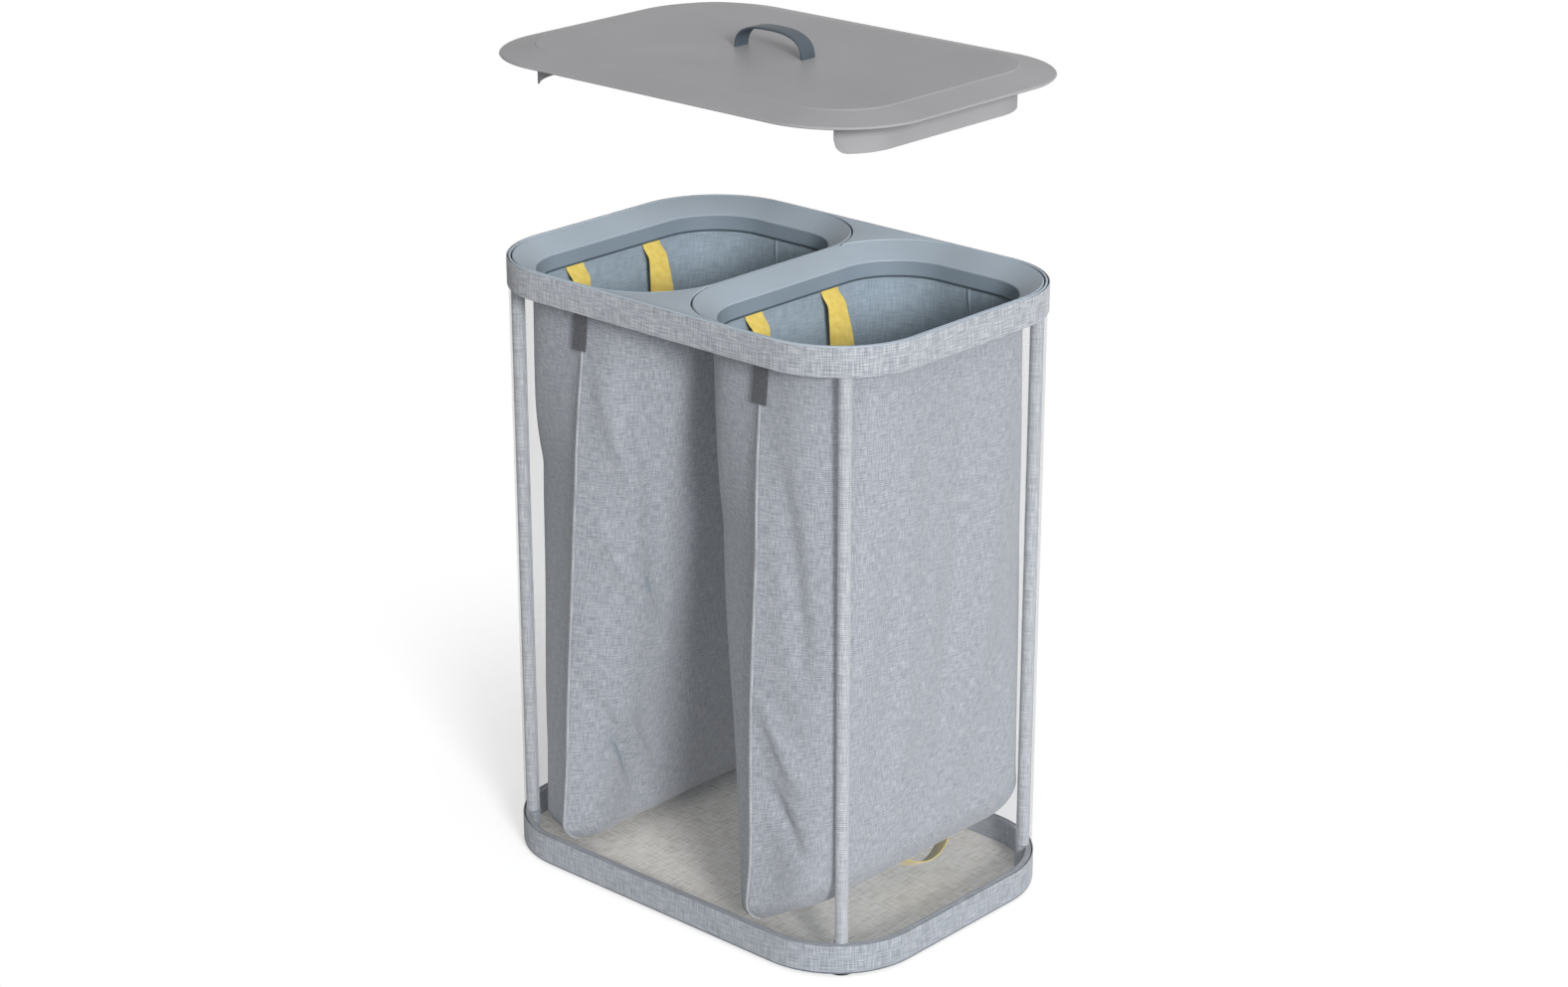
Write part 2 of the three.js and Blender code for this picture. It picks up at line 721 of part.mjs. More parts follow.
// A plate that holds the turned-in end of the handle against the lid's underside
function handleKeeper(side) {
  const panelUnder = lidEdge + lidRise + lidStep - lidThickness;
  const top = panelUnder - 2 * fitGap - lidHandleThickness;
  const outer = side * (lidHandleSpan / 2 + keeperMargin);
  const inner = side * (lidHandleSpan / 2 - lidHandleTab - keeperMargin);
  const halfY = lidHandleWidth / 2 + keeperMargin;
  return cornerBox(
    [Math.min(outer, inner), -halfY, top - keeperThickness],
    [Math.max(outer, inner), halfY, top],
  );
}

function addLid(group) {
  const lid = new THREE.Group();
  lid.position.z = lidSeatHeight + lidHover;
  addMesh(lid, 'lid_shell', lidShell(), lidPlastic());
  addMesh(lid, 'lid_skirt_right', lidSkirt(), lidPlastic());
  addMesh(lid, 'lid_skirt_left', lidSkirt().rotateZ(Math.PI), lidPlastic());
  addMesh(lid, 'lid_handle', lidHandle(), finish('#4d5862', 0.6));
  addMesh(lid, 'handle_keeper_left', handleKeeper(-1), lidPlastic());
  addMesh(lid, 'handle_keeper_right', handleKeeper(1), lidPlastic());
  group.add(lid);
}

// The hamper

const hamper = new THREE.Group();
addBase(hamper);
addPosts(hamper);
addMesh(hamper, 'mesh_wall', meshWall(), meshCloth());
addTop(hamper);
addBag(hamper, {
  name: 'left_bag',
  side: -1,
  narrowing: leftBagNarrowing,
  corner: leftBagCorner,
  drift: leftBagDrift,
  bottom: leftBagBottom,
  slant: leftBagSlantShare,
  grabFromSide: leftGrabFromSide,
  tagAside: leftTagAside,
});
addBag(hamper, {
  name: 'right_bag',
  side: 1,
  narrowing: rightBagNarrowing,
  corner: rightBagCorner,
  drift: rightBagDrift,
  bottom: rightBagBottom,
  slant: rightBagSlantShare,
  grabFromSide: rightGrabFromSide,
  tagAside: 0,
});
addLid(hamper);

export default hamper;
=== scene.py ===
import bpy
import numpy as np
from mathutils import Matrix


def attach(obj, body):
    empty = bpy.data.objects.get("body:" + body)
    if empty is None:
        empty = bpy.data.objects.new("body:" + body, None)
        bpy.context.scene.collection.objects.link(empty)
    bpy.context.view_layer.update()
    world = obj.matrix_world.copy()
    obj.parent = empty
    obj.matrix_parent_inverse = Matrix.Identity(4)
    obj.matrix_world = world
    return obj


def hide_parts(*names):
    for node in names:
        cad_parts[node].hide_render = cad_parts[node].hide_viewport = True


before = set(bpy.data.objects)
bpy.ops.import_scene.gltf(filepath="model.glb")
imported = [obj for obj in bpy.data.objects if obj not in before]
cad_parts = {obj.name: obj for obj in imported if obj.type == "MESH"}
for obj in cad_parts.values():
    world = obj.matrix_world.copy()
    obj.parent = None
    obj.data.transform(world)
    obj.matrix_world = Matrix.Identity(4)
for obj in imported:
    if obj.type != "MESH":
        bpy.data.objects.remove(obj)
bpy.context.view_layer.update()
print("frame loaded")

# Every size below is in millimetres, and becomes metres where a mesh is made
metres = 0.001
quarterTurn = np.pi / 2

hamper = {
    "halfX": 270.0, "halfY": 190.0, "radius": 103.0,  # outline seen from above
    "lidHeight": 907.0,  # lower edge of the lid where it is held
}
creaseAngle = np.radians(50)  # edges that turn more than this are shaded sharp
legShare = 0.45  # a rounded corner takes up no more than this of either leg


# Meshes

# sRGB hex to linear colour: low values are divided by 12.92, the others raised to the power 2.4
def linear(hexText):
    share = np.array([int(hexText[i:i + 2], 16) for i in (1, 3, 5)]) / 255
    share = np.where(share <= 0.04045, share / 12.92, ((share + 0.055) / 1.055) ** 2.4)
    return (*share.tolist(), 1.0)


# Vectors divided by their lengths
def unit(vectors):
    return vectors / np.linalg.norm(vectors, axis=-1, keepdims=True)


# The length travelled along a path up to each of its points
def travelled(path):
    return np.r_[0, np.cumsum(np.linalg.norm(np.diff(path, axis=0), axis=1))]


# A new object in the scene
def newObject(name, data):
    added = bpy.data.objects.new(name, data)
    bpy.context.scene.collection.objects.link(added)
    return added


# A surface from a grid of points (rows, columns). Its columns close in a ring. Its rows do too, or
# else its first and last row each close on a middle point. Each face joins four neighbours of the
# grid, and where the signed volume comes out negative all the faces are turned round. Texture
# places that aren't given are the lengths travelled along the columns and up the rows.
def gridPiece(name, body, material, points, uv=None, wrapRows=False):
    rows, columns = points.shape[:2]
    index = np.arange(rows * columns).reshape(rows, columns)
    if uv is None:
        closed = np.pad(points, ((0, 1), (0, 1), (0, 0)), mode="wrap")
        along, up = (np.cumsum(np.linalg.norm(np.diff(closed, axis=axis), axis=2), axis=axis)
                     for axis in (1, 0))
        uv = np.stack([np.pad(along, ((0, 0), (1, 0))), np.pad(up, ((1, 0), (0, 0)))], axis=2)
    uv = uv * metres
    r = np.arange(rows if wrapRows else rows - 1)[:, None]
    c = np.arange(columns)[None, :]
    corners = [(r, c), (r, c + 1), (r + 1, c + 1), (r + 1, c)]
    quads = np.stack([index[a % rows, b % columns] for a, b in corners], axis=2).reshape(-1, 4)
    quadUv = np.stack([uv[a, b] for a, b in corners], axis=2).reshape(-1, 4, 2)
    vertices = points.reshape(-1, 3)
    triangles = np.zeros((0, 3), int)
    for row, order in () if wrapRows else ((0, -1), (-1, 1)):
        ring = index[row]
        fan = np.stack([ring, np.roll(ring, -1), np.full(columns, len(vertices))], axis=1)
        triangles = np.vstack([triangles, fan[:, ::order]])
        vertices = np.vstack([vertices, points[row].mean(axis=0)])
    first, second, third = vertices[np.vstack([quads[:, :3], quads[:, [0, 2, 3]], triangles]).T]
    if np.einsum("ij,ij->", first, np.cross(second, third)) < 0:
        quads, quadUv, triangles = quads[:, ::-1], quadUv[:, ::-1], triangles[:, ::-1]
    mesh = bpy.data.meshes.new(name)
    mesh.from_pydata((vertices * metres).tolist(), [], quads.tolist() + triangles.tolist())
    loopUv = np.vstack([quadUv.reshape(-1, 2), vertices[triangles.ravel(), :2] * metres])
    layer = mesh.uv_layers.new(name="cloth")
    layer.data.foreach_set("uv", loopUv.astype(np.float32).ravel())
    mesh.shade_smooth()
    mesh.set_sharp_from_angle(angle=creaseAngle)
    mesh.materials.append(material)
    piece = newObject(name, mesh)
    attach(piece, body)
    return piece


# A closed profile with each corner rounded by its own radius. The curve leaves one leg and
# joins the other where an arc would touch them, and bends towards the corner in between: it is
# start, corner and end weighted by the rest squared, twice rest times share, and share squared.
def filleted(profile, radius, steps=4):
    profile = np.array(profile, float)
    radius = np.broadcast_to(radius, len(profile))
    before = profile - np.roll(profile, 1, axis=0)
    after = np.roll(profile, -1, axis=0) - profile
    lengthBefore = np.linalg.norm(before, axis=1)
    lengthAfter = np.linalg.norm(after, axis=1)
    before, after = before / lengthBefore[:, None], after / lengthAfter[:, None]
    turn = np.arccos(np.clip(np.einsum("ij,ij->i", before, after), -1, 1))
    reach = np.minimum(radius * np.tan(turn / 2),
                       legShare * np.minimum(lengthBefore, lengthAfter))
    share = np.linspace(0, 1, steps + 1)[None, :, None]
    start = (profile - before * reach[:, None])[:, None]
    end = (profile + after * reach[:, None])[:, None]
    corner = profile[:, None]
    curve = (1 - share) ** 2 * start + 2 * share * (1 - share) * corner + share ** 2 * end
    curve = curve.reshape(-1, 2)
    return curve[np.linalg.norm(curve - np.roll(curve, 1, axis=0), axis=1) > 1e-6]


# The outline of a rounded rectangle, kept as anchors and outward normals: the point at an inset
# is the anchor plus the normal times the radius less the inset
def outline(halfX, halfY, radius, middleX=0.0, arcSteps=20, sideSteps=10):
    anchors, normals = [], []
    a, b = halfX - radius, halfY - radius
    corners = np.array([(a, -b), (a, b), (-a, b), (-a, -b)])
    for count, (start, end) in enumerate(zip(corners, np.roll(corners, -1, axis=0))):
        angle = count * quarterTurn
        share = np.linspace(0, 1, sideSteps, endpoint=False)[:, None]
        anchors.append(start * (1 - share) + end * share)
        normals.append(np.tile([np.cos(angle), np.sin(angle)], (sideSteps, 1)))
        turn = angle + np.linspace(0, quarterTurn, arcSteps, endpoint=False)
        anchors.append(np.tile(end, (arcSteps, 1)))
        normals.append(np.stack([np.cos(turn), np.sin(turn)], axis=1))
    return {"anchors": np.concatenate(anchors) + [middleX, 0.0],
            "normals": np.concatenate(normals), "radius": radius}


# A profile of (inset, height) points carried round an outline
def ringPoints(profile, path):
    profile = np.array(profile, float)
    reach = (path["radius"] - profile[:, 0])[:, None, None]
    level = path["anchors"][None] + path["normals"][None] * reach
    height = np.broadcast_to(profile[:, 1][:, None, None], level.shape[:2] + (1,))
    return np.concatenate([level, height], axis=2)


# A rounded profile carried round an outline, as one closed piece
def ringPiece(name, body, material, profile, path, edges):
    return gridPiece(name, body, material, ringPoints(filleted(profile, edges), path),
                     wrapRows=True)


# The profile of a plain ring: its two insets, and its lower and upper edge
def rectangle(outer, inner, bottom, upper):
    return [(outer, bottom), (outer, upper), (inner, upper), (inner, bottom)]


# A section of (across, out) points carried along a path, turned by the path's normals: each
# point is the path's point plus across times the side direction plus out times the normal
def strapPoints(path, normals, section):
    tangent = unit(np.gradient(path, axis=0))
    across = unit(np.cross(normals, tangent))
    out = np.cross(tangent, across)
    return path[:, None] + section[None, :, :1] * across[:, None] + \
        section[None, :, 1:] * out[:, None]


# The section of a flat strap: half its width and thickness either way, with rounded edges
def sectionOf(sizes):
    x, y = sizes["width"] / 2, sizes["thickness"] / 2
    return filleted([(-x, -y), (x, -y), (x, y), (-x, y)], sizes["edge"], 3)


# A strap: its section carried along a path, closed at both ends. Its texture places go across it
# from edge to edge on both faces, and along its length.
def strapPiece(name, body, material, path, normals, section):
    across = np.r_[section[:, 0], section[0, 0]]
    places = np.stack(np.broadcast_arrays(across, travelled(path)[:, None]), axis=2)
    return gridPiece(name, body, material, strapPoints(path, normals, section), places)


# Materials

millimetres = 1000  # in a metre, for the scales of patterns
oneBand = 0.314  # a Wave texture of this scale has one band in each unit of length


# Links sources to a node's inputs. A node as a source stands for its first output.
def joinInputs(tree, node, links):
    for key, source in links.items():
        if source is not None:
            tree.links.new(getattr(source, "outputs", [source])[0], node.inputs[key])


# Adds a node with its settings, and links sources to its inputs in order or by name. A colour
# ramp's stops are their places and their hex colours.
def addNode(tree, kind, settings, *sources, **links):
    node = tree.nodes.new("ShaderNode" + kind)
    for key, value in settings.items():
        if key == "stops":
            elements = node.color_ramp.elements
            while len(elements) < len(value[0]):
                elements.new(0.5)
            for element, place, colour in zip(elements, *value):
                element.position = place
                element.color = linear(colour)
        elif isinstance(key, int) or key in node.inputs:
            node.inputs[key].default_value = value
        else:
            setattr(node, key, value)
    joinInputs(tree, node, dict(enumerate(sources)) | links)
    return node


# A new material with settings on its shader. Gives the material, its node tree, the shader and
# the texture places.
def newMaterial(name, settings):
    material = bpy.data.materials.new(name)
    material.use_nodes = True
    tree = material.node_tree
    shader = tree.nodes["Principled BSDF"]
    for key, value in settings.items():
        shader.inputs[key].default_value = value
    return material, tree, shader, addNode(tree, "TexCoord", {}).outputs


usualCloth = {
    "pitch": 1.4, "slub": 19.0,  # width and length of a yarn's streak
    "weave": 1.6, "bump": 0.3,  # spacing of the threads, and how strongly they stand out
    "patch": 0.04,  # how uneven the colour is over a hand's breadth
    "roughness": 0.92, "sheen": 0.2, "place": "UV",
    "spread": 0.28,  # the sum of two yarns lies within this of 1, nearly everywhere
}


# Melange cloth: yarns of uneven colour cross each other. Each yarn is a long thin streak of
# noise, and the two directions are added into one value that picks the colour. Real yarns are
# about 0.4 mm, too fine to show, so they are drawn as coarse as the pitch given.
def clothMaterial(name, look):
    look = {**usualCloth, **look}
    material, tree, shader, places = newMaterial(name, {
        "Roughness": look["roughness"], "Sheen Weight": look["sheen"], "Sheen Roughness": 0.6,
        "Specular IOR Level": 0.2})
    place = places[look["place"]]
    yarns, threads = [], []
    for sizes, direction in (((look["pitch"], look["slub"]), "X"),
                             ((look["slub"], look["pitch"]), "Y")):
        streak = addNode(tree, "Mapping", {
            "Scale": (millimetres / sizes[0], millimetres / sizes[1], 1.0)}, place)
        yarns.append(addNode(tree, "TexNoise", {"Scale": 1.0, "Detail": 1.0}, streak))
        grid = addNode(tree, "Mapping", {"Scale": (millimetres / look["weave"],) * 3}, place)
        threads.append(addNode(tree, "TexWave", {
            "bands_direction": direction, "Scale": oneBand, "Distortion": 0.6, "Detail": 1.0,
            "Detail Scale": 0.4}, grid).outputs["Fac"])
    yarn = addNode(tree, "Math", {"operation": "ADD"}, *yarns)
    patchMap = addNode(tree, "Mapping", {"Scale": (14.0, 9.0, 1.0)}, place)
    patch = addNode(tree, "TexNoise", {"Scale": 1.0, "Detail": 3.0}, patchMap)
    mixed = addNode(tree, "Math", {"operation": "MULTIPLY_ADD", 1: look["patch"]},
                    patch, None, yarn)
    middle = 1 + look["patch"] / 2
    spread = addNode(tree, "MapRange", {
        "From Min": middle - look["spread"], "From Max": middle + look["spread"]}, mixed)
    colour = addNode(tree, "ValToRGB", {"stops": ((0.0, 0.5, 1.0), look["colours"])}, spread)
    woven = addNode(tree, "Math", {"operation": "ADD"}, *threads)
    height = addNode(tree, "Math", {"operation": "MULTIPLY_ADD", 1: 0.7}, yarn, None, woven)
    bump = addNode(tree, "Bump", {"Strength": look["bump"], "Distance": 0.0004}, Height=height)
    joinInputs(tree, shader, {"Base Color": colour, "Normal": bump})
    return material


usualPlastic = {
    "roughness": 0.45, "shine": 0.25,  # how blurred and how strong the reflection is
    "grain": 0.5, "bump": 0.05,  # size and depth of the spark-eroded grain
}


# Moulded plastic: a fine grain from the spark-eroded mould softens the highlight, and the colour
# is faintly uneven. The real grain is about 0.1 mm, and is drawn as coarse as given.
def plasticMaterial(name, look):
    look = {**usualPlastic, **look}
    material, tree, shader, places = newMaterial(name, {
        "IOR": 1.49, "Specular IOR Level": look["shine"]})
    grain = addNode(tree, "TexNoise", {
        "Scale": millimetres / look["grain"], "Roughness": 0.6}, places["Object"])
    cloud = addNode(tree, "TexNoise", {"Scale": 9.0}, places["Object"])
    colour = addNode(tree, "ValToRGB", {"stops": ((0.3, 0.7), look["colours"])}, cloud)
    rough = addNode(tree, "MapRange", {
        "To Min": look["roughness"] - 0.04, "To Max": look["roughness"] + 0.06}, grain)
    bump = addNode(tree, "Bump", {"Strength": look["bump"], "Distance": 0.0002}, Height=grain)
    joinInputs(tree, shader, {"Base Color": colour, "Roughness": rough, "Normal": bump})
    return material


# Glued flat on the frame: dull, with a clear linen hatch and a soft pale edge at grazing view
bandCloth = clothMaterial("Melange polyester canvas, bonded to the frame", {
    "colours": ["#777b82", "#8e9298", "#a7aab0"], "sheen": 0.25})
# The same canvas near the floor, painted a shade deeper: a shaded copy of the band canvas,
# standing in for the shade there
baseShadedCloth = clothMaterial("Melange polyester canvas, base band in painted shade", {
    "colours": ["#71767d", "#868b92", "#9b9fa5"]})
# Hangs free, so its hatch is softer, and folds show by light and shade alone
bagCloth = clothMaterial("Melange polyester canvas, unlined", {
    "colours": ["#7e838c", "#94989f", "#aaadb4"],
    "pitch": 1.3, "slub": 13.0, "weave": 1.5, "patch": 0.05, "roughness": 0.95})
# Stretched round the tubes and along the seams: paler, with wider slubs
sleeveCloth = clothMaterial("Melange polyester canvas, pale", {
    "colours": ["#92969c", "#a6a9ae", "#babdc2"],
    "pitch": 1.7, "slub": 22.0, "weave": 1.7, "bump": 0.35})
# The coating fills the weave: smoother and bluer, with a faint satin gloss
liningCloth = clothMaterial("Coated inner face of the canvas", {
    "colours": ["#7a8792", "#84929d", "#8e9ca7"],
    "slub": 20.0, "patch": 0.3, "roughness": 0.7, "sheen": 0.05, "bump": 0.15})
# Undyed flax: cream, matt and coarse, with slubs that catch the light
boardLinen = clothMaterial("Linen covered board", {
    "colours": ["#cfc8bb", "#f0ebe2", "#fefcf9"],
    "pitch": 1.9, "slub": 24.0, "weave": 1.9, "patch": 0.1,
    "roughness": 0.95, "sheen": 0.1, "bump": 0.5, "place": "Object"})
# Tightly woven and dark: an even charcoal that shows its ribs close by
tagCloth = clothMaterial("Dark woven ribbon", {
    "colours": ["#303033", "#424246", "#535358"],
    "pitch": 0.9, "slub": 6.0, "weave": 0.9, "patch": 0.1,
    "roughness": 0.8, "sheen": 0.05, "bump": 0.5})
# A round cord: a thin dark line with a soft light along its top. Its dark colour is painted shadow
# from under the base band; the cord itself is paler.
pipingShadowCord = clothMaterial("Braided piping cord, painted dark as shadow", {
    "colours": ["#4b5056", "#5a5f66", "#696e75"],
    "pitch": 0.8, "slub": 5.0, "weave": 0.9, "patch": 0.1, "roughness": 0.8, "sheen": 0.1})
# Satin, the palest of the plastics: a thin light edge round the top
framePlastic = plasticMaterial("Moulded polypropylene, pale slate", {
    "colours": ["#a2aeb8", "#a8b4be"]})
# A little smoother, so that the sloping flange carries a broad soft reflection
rimPlastic = plasticMaterial("Moulded polypropylene, blue grey", {
    "colours": ["#949fa9", "#9aa5af"], "roughness": 0.4})
# The rim's upright wall: the same satin, painted darker as the shade in the mouth
rimWallShadePlastic = plasticMaterial("Moulded polypropylene, painted shade of the rim wall", {
    "colours": ["#74818c", "#7a8792"]})
# Its lower lip: a dark line painted as the shadow where the wall meets the cloth
rimLipShadowPlastic = plasticMaterial("Moulded polypropylene, painted shadow line at the lip", {
    "colours": ["#444e57", "#4a545d"], "roughness": 0.5})
# Flat and warm beside the blue greys, nearly without a highlight
lidPlastic = plasticMaterial("Moulded polypropylene, warm grey", {
    "colours": ["#8c8c8e", "#919193"], "roughness": 0.42, "shine": 0.08})
# Tough and grained: a dark strap with a dull broad highlight on its crown
handlePlastic = plasticMaterial("Moulded nylon, dark slate", {
    "colours": ["#3d454d", "#444c54"], "roughness": 0.5, "grain": 0.4, "bump": 0.1})
# Black and dry, with hardly any reflection
footRubber = plasticMaterial("Moulded rubber, black", {
    "colours": ["#18181a", "#202022"], "roughness": 0.75, "grain": 0.6, "bump": 0.3})


# Webbing: polyester tape with fine ribs along its length that glint softly. The colour follows
# the ribs and a fine cloud, and the height follows the ribs and the cross yarns.
def webbingMaterial(look):
    material, tree, shader, places = newMaterial("Polyester webbing, yellow", {
        "Roughness": 0.6, "Sheen Weight": 0.3, "Sheen Roughness": 0.4})
    pitch = millimetres / look["rib"]
    ribMap = addNode(tree, "Mapping", {"Scale": (pitch, pitch, 1.0)}, places["UV"])
    rib, tooth = (addNode(tree, "TexWave", {
        "bands_direction": direction, "Scale": oneBand, "Distortion": distortion},
        ribMap).outputs["Fac"] for direction, distortion in (("X", 0.3), ("Y", 0.5)))
    cloud = addNode(tree, "TexNoise", {"Scale": 120.0, "Detail": 3.0}, places["UV"])
    height = addNode(tree, "Math", {"operation": "MULTIPLY_ADD", 1: 0.4}, tooth, None, rib)
    factor = addNode(tree, "Math", {"operation": "MULTIPLY_ADD", 1: 0.35}, rib, None, cloud)
    colour = addNode(tree, "ValToRGB", {"stops": ((0.3, 0.65, 0.95), look["colours"])}, factor)
    bump = addNode(tree, "Bump", {"Strength": 0.4, "Distance": 0.0003}, Height=height)
    joinInputs(tree, shader, {"Base Color": colour, "Normal": bump})
    return material


# Sheer net: two sets of fine yarns with open holes between them, a veil that pales what is
# behind it. The cover is the larger of the two sets, between the holes' and the yarns'. The real
# holes are about 0.8 mm, too fine to show, so they are drawn at the pitch given.
def netMaterial(look):
    material, tree, shader, places = newMaterial("Sheer polyester net", {
        "Roughness": 0.8, "Specular IOR Level": 0.2, "Base Color": linear(look["colour"])})
    grid = addNode(tree, "Mapping", {"Scale": (millimetres / look["pitch"],) * 3}, places["UV"])
    sets = [addNode(tree, "TexWave", {
        "bands_direction": direction, "Scale": oneBand, "Distortion": 0.4, "Detail": 1.0},
        grid).outputs["Fac"] for direction in ("X", "Y")]
    crossing = addNode(tree, "Math", {"operation": "MAXIMUM"}, *sets)
    cover = addNode(tree, "MapRange", {
        "From Min": 0.35, "To Min": look["open"], "To Max": look["closed"]}, crossing)
    joinInputs(tree, shader, {"Alpha": cover})
    return material


# Drawn steel tube: a grey metal with fine bright streaks along it, 1 mm wide and 33 mm long
def steelMaterial():
    material, tree, shader, places = newMaterial("Zinc plated steel tube", {
        "Metallic": 1.0, "Roughness": 0.35})
    streak = addNode(tree, "Mapping", {"Scale": (900.0, 900.0, 30.0)}, places["Object"])
    noise = addNode(tree, "TexNoise", {"Scale": 1.0}, streak)
    colour = addNode(tree, "ValToRGB", {"stops": ((0.3, 0.7), ("#a9acb0", "#c4c7ca"))}, noise)
    joinInputs(tree, shader, {"Base Color": colour})
    return material


webbing = webbingMaterial({"colours": ["#bea246", "#cbb356", "#d6c26a"], "rib": 1.3})
netCloth = netMaterial({"colour": "#8c9096", "pitch": 2.2, "open": 0.03, "closed": 0.14})
steelTube = steelMaterial()
print("materials made")

# Rings and bands of the frame

hamperPath = outline(hamper["halfX"], hamper["halfY"], hamper["radius"])
ringParts = {  # name: (slot, material, profile, corner radii, nodes)
    # The base band and base ring take the copy of the canvas painted a shade deeper as shade near
    # the floor
    "base_band_cloth": (
        "band_fabric", baseShadedCloth, rectangle(0, 1.2, 6.0, 37.0), 0.55, ["base_band"]),
    "top_band_cloth": (
        "band_fabric", bandCloth, rectangle(0, 1.2, 660.0, 690.7), 0.55, ["top_band"]),
    "mesh_skin": (
        "mesh_cloth", netCloth, rectangle(1.5, 2.1, 10.0, 676.5), 0.2, ["mesh_wall"]),
    # The piping cord is painted dark as the shadow under the base band
    "base_piping_cord": (
        "piping", pipingShadowCord, rectangle(0.4, 2.0, 4.1, 5.7), 0.8, ["base_piping"]),
    "base_ring_cloth": (
        "frame_plastic", baseShadedCloth,
        [(2.4, 6.0), (2.4, 37.0), (9.0, 37.0), (9.0, 8.0), (40.0, 8.0), (40.0, 6.0)],
        [0.5, 1.2, 1.2, 0.5, 0.5, 0.5], ["base_ring"]),
    "top_ring_wall": (
        "frame_plastic", framePlastic,
        [(2.4, 660.0), (2.4, 679.0), (9.0, 679.0), (9.0, 676.5), (4.6, 676.5), (4.6, 660.0)],
        [0.5, 0.3, 0.3, 0.3, 0.3, 0.5], ["top_ring"]),
    "top_edging": (
        "frame_plastic", framePlastic, rectangle(2.4, 4.6, 679.3, 691.0), [0.3, 0.8, 0.8, 0.3],
        [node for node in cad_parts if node.startswith("edging_")]),
}
for name, (slotName, material, profile, edges, nodes) in ringParts.items():
    piece = ringPiece(name, "frame", material, profile, hamperPath, edges)
    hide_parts(*nodes)


# The four places on the corners' bisectors at an inset from the outline
def cornerPlaces(inset):
    reach = (hamper["radius"] - inset) * np.sqrt(0.5)
    x = hamper["halfX"] - hamper["radius"] + reach
    y = hamper["halfY"] - hamper["radius"] + reach
    return {"front_left": (-x, -y), "front_right": (x, -y), "back_left": (-x, y),
            "back_right": (x, y)}


# A turned piece: a closed profile of (radius, height) carried round an upright axis
def turnedPiece(name, material, profile, x, y, edges, steps=40):
    profile = filleted(profile, edges)
    turn = np.linspace(0, 2 * np.pi, steps, endpoint=False)
    points = np.stack(np.broadcast_arrays(
        x + profile[:, :1] * np.cos(turn), y + profile[:, :1] * np.sin(turn),
        profile[:, 1:]), axis=2)
    return gridPiece(name, "frame", material, points, wrapRows=True)


cornerParts = {  # name: (slot, material, inset, profile, corner radii, node or its first part)
    # The sockets on the base take the same canvas in painted shade
    "base_socket_": (
        "frame_plastic", baseShadedCloth, 11.0,
        [(6.4, 9.2), (8.5, 9.2), (8.5, 37.2), (6.4, 37.2)], 0.5, "base_ring"),
    "foot_pad_": (
        "foot_rubber", footRubber, 20.0,
        [(0.5, 0.0), (15.2, 0.0), (16.0, 1.0), (16.0, 5.7), (0.5, 5.7)],
        [0.1, 0.6, 0.6, 0.4, 0.1], "foot_"),
    "sleeve_cloth_": (
        "band_fabric", sleeveCloth, 11.0,
        [(6.3, 37.3), (7.0, 37.3), (7.0, 659.7), (6.3, 659.7)], 0.2, "sleeve_"),
    "top_socket_": (
        "frame_plastic", framePlastic, 11.0,
        [(6.4, 660.0), (8.5, 660.0), (8.5, 671.0), (6.4, 671.0)], 0.5, "top_ring"),
}
for start, (slotName, material, inset, profile, edges, node) in cornerParts.items():
    for corner, (x, y) in cornerPlaces(inset).items():
        piece = turnedPiece(start + corner, material, profile, x, y, edges)
        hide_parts(node + corner if node[-1] == "_" else node)

# A sewn seam stands out a little on the side of each sleeve that faces into the hamper
sleeveSeam = {"inset": 11.0, "reach": 7.3, "bottom": 39.3, "upper": 657.7, "steps": 40,
              "width": 3.0, "thickness": 0.9, "edge": 0.4}
for corner, (x, y) in cornerPlaces(sleeveSeam["inset"]).items():
    inward = -np.array([x, y, 0.0]) / np.hypot(x, y)
    path = np.array([x, y, 0.0]) + inward * sleeveSeam["reach"]
    path = np.tile(path, (sleeveSeam["steps"], 1))
    path[:, 2] = np.linspace(sleeveSeam["bottom"], sleeveSeam["upper"], sleeveSeam["steps"])
    strapPiece("sleeve_seam_" + corner, "frame", sleeveCloth, path,
               np.tile(inward, (sleeveSeam["steps"], 1)), sectionOf(sleeveSeam))
print("rings, feet and sleeves made")

beam = {"halfX": 4.0, "bottom": 664.0, "upper": 679.0, "halfY": 186.5, "edge": 1.0}
filler = {"arcX": 97.3, "arcY": 87.0, "arcRadius": 98.4, "tip": 107.2, "wall": 185.1,
          "bottom": 679.3, "upper": 691.0, "edge": 0.9}


# A bar along Y: sections in X and Z, each half as wide as its own value, with rounded edges
def barPiece(name, y, halfWidth, bar):
    corners = np.array([(-1, 0), (1, 0), (1, 1), (-1, 1)], float)
    rows = []
    for place, half in zip(y, halfWidth):
        shape = corners * [half, bar["upper"] - bar["bottom"]] + [0, bar["bottom"]]
        shape = filleted(shape, min(bar["edge"], half * 0.6), 4)
        rows.append(np.column_stack([shape[:, 0], np.full(len(shape), place), shape[:, 1]]))
    return gridPiece(name, "frame", framePlastic, np.array(rows))


beamY = np.linspace(-beam["halfY"], beam["halfY"], 30)
piece = barPiece("top_beam", beamY, np.full(len(beamY), beam["halfX"]), beam)
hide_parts("top_ring")

# A filler runs from the wall to a thin tip, between two arcs: half its width is what the arc's
# radius leaves free, the root of the radius squared less the way past the arc's middle squared
depthShare = 1 - np.cos(np.linspace(0, quarterTurn, 40))
fillerY = filler["wall"] - (filler["wall"] - filler["tip"]) * depthShare
fillerHalf = filler["arcX"] - np.sqrt(np.maximum(
    filler["arcRadius"] ** 2 - (fillerY - filler["arcY"]) ** 2, 0))
for side, name in ((-1, "front"), (1, "back")):
    piece = barPiece("top_filler_" + name, side * fillerY, fillerHalf, filler)
    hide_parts(f"filler_{name}_left", f"filler_{name}_right")
print("upper ring made")

# Bags

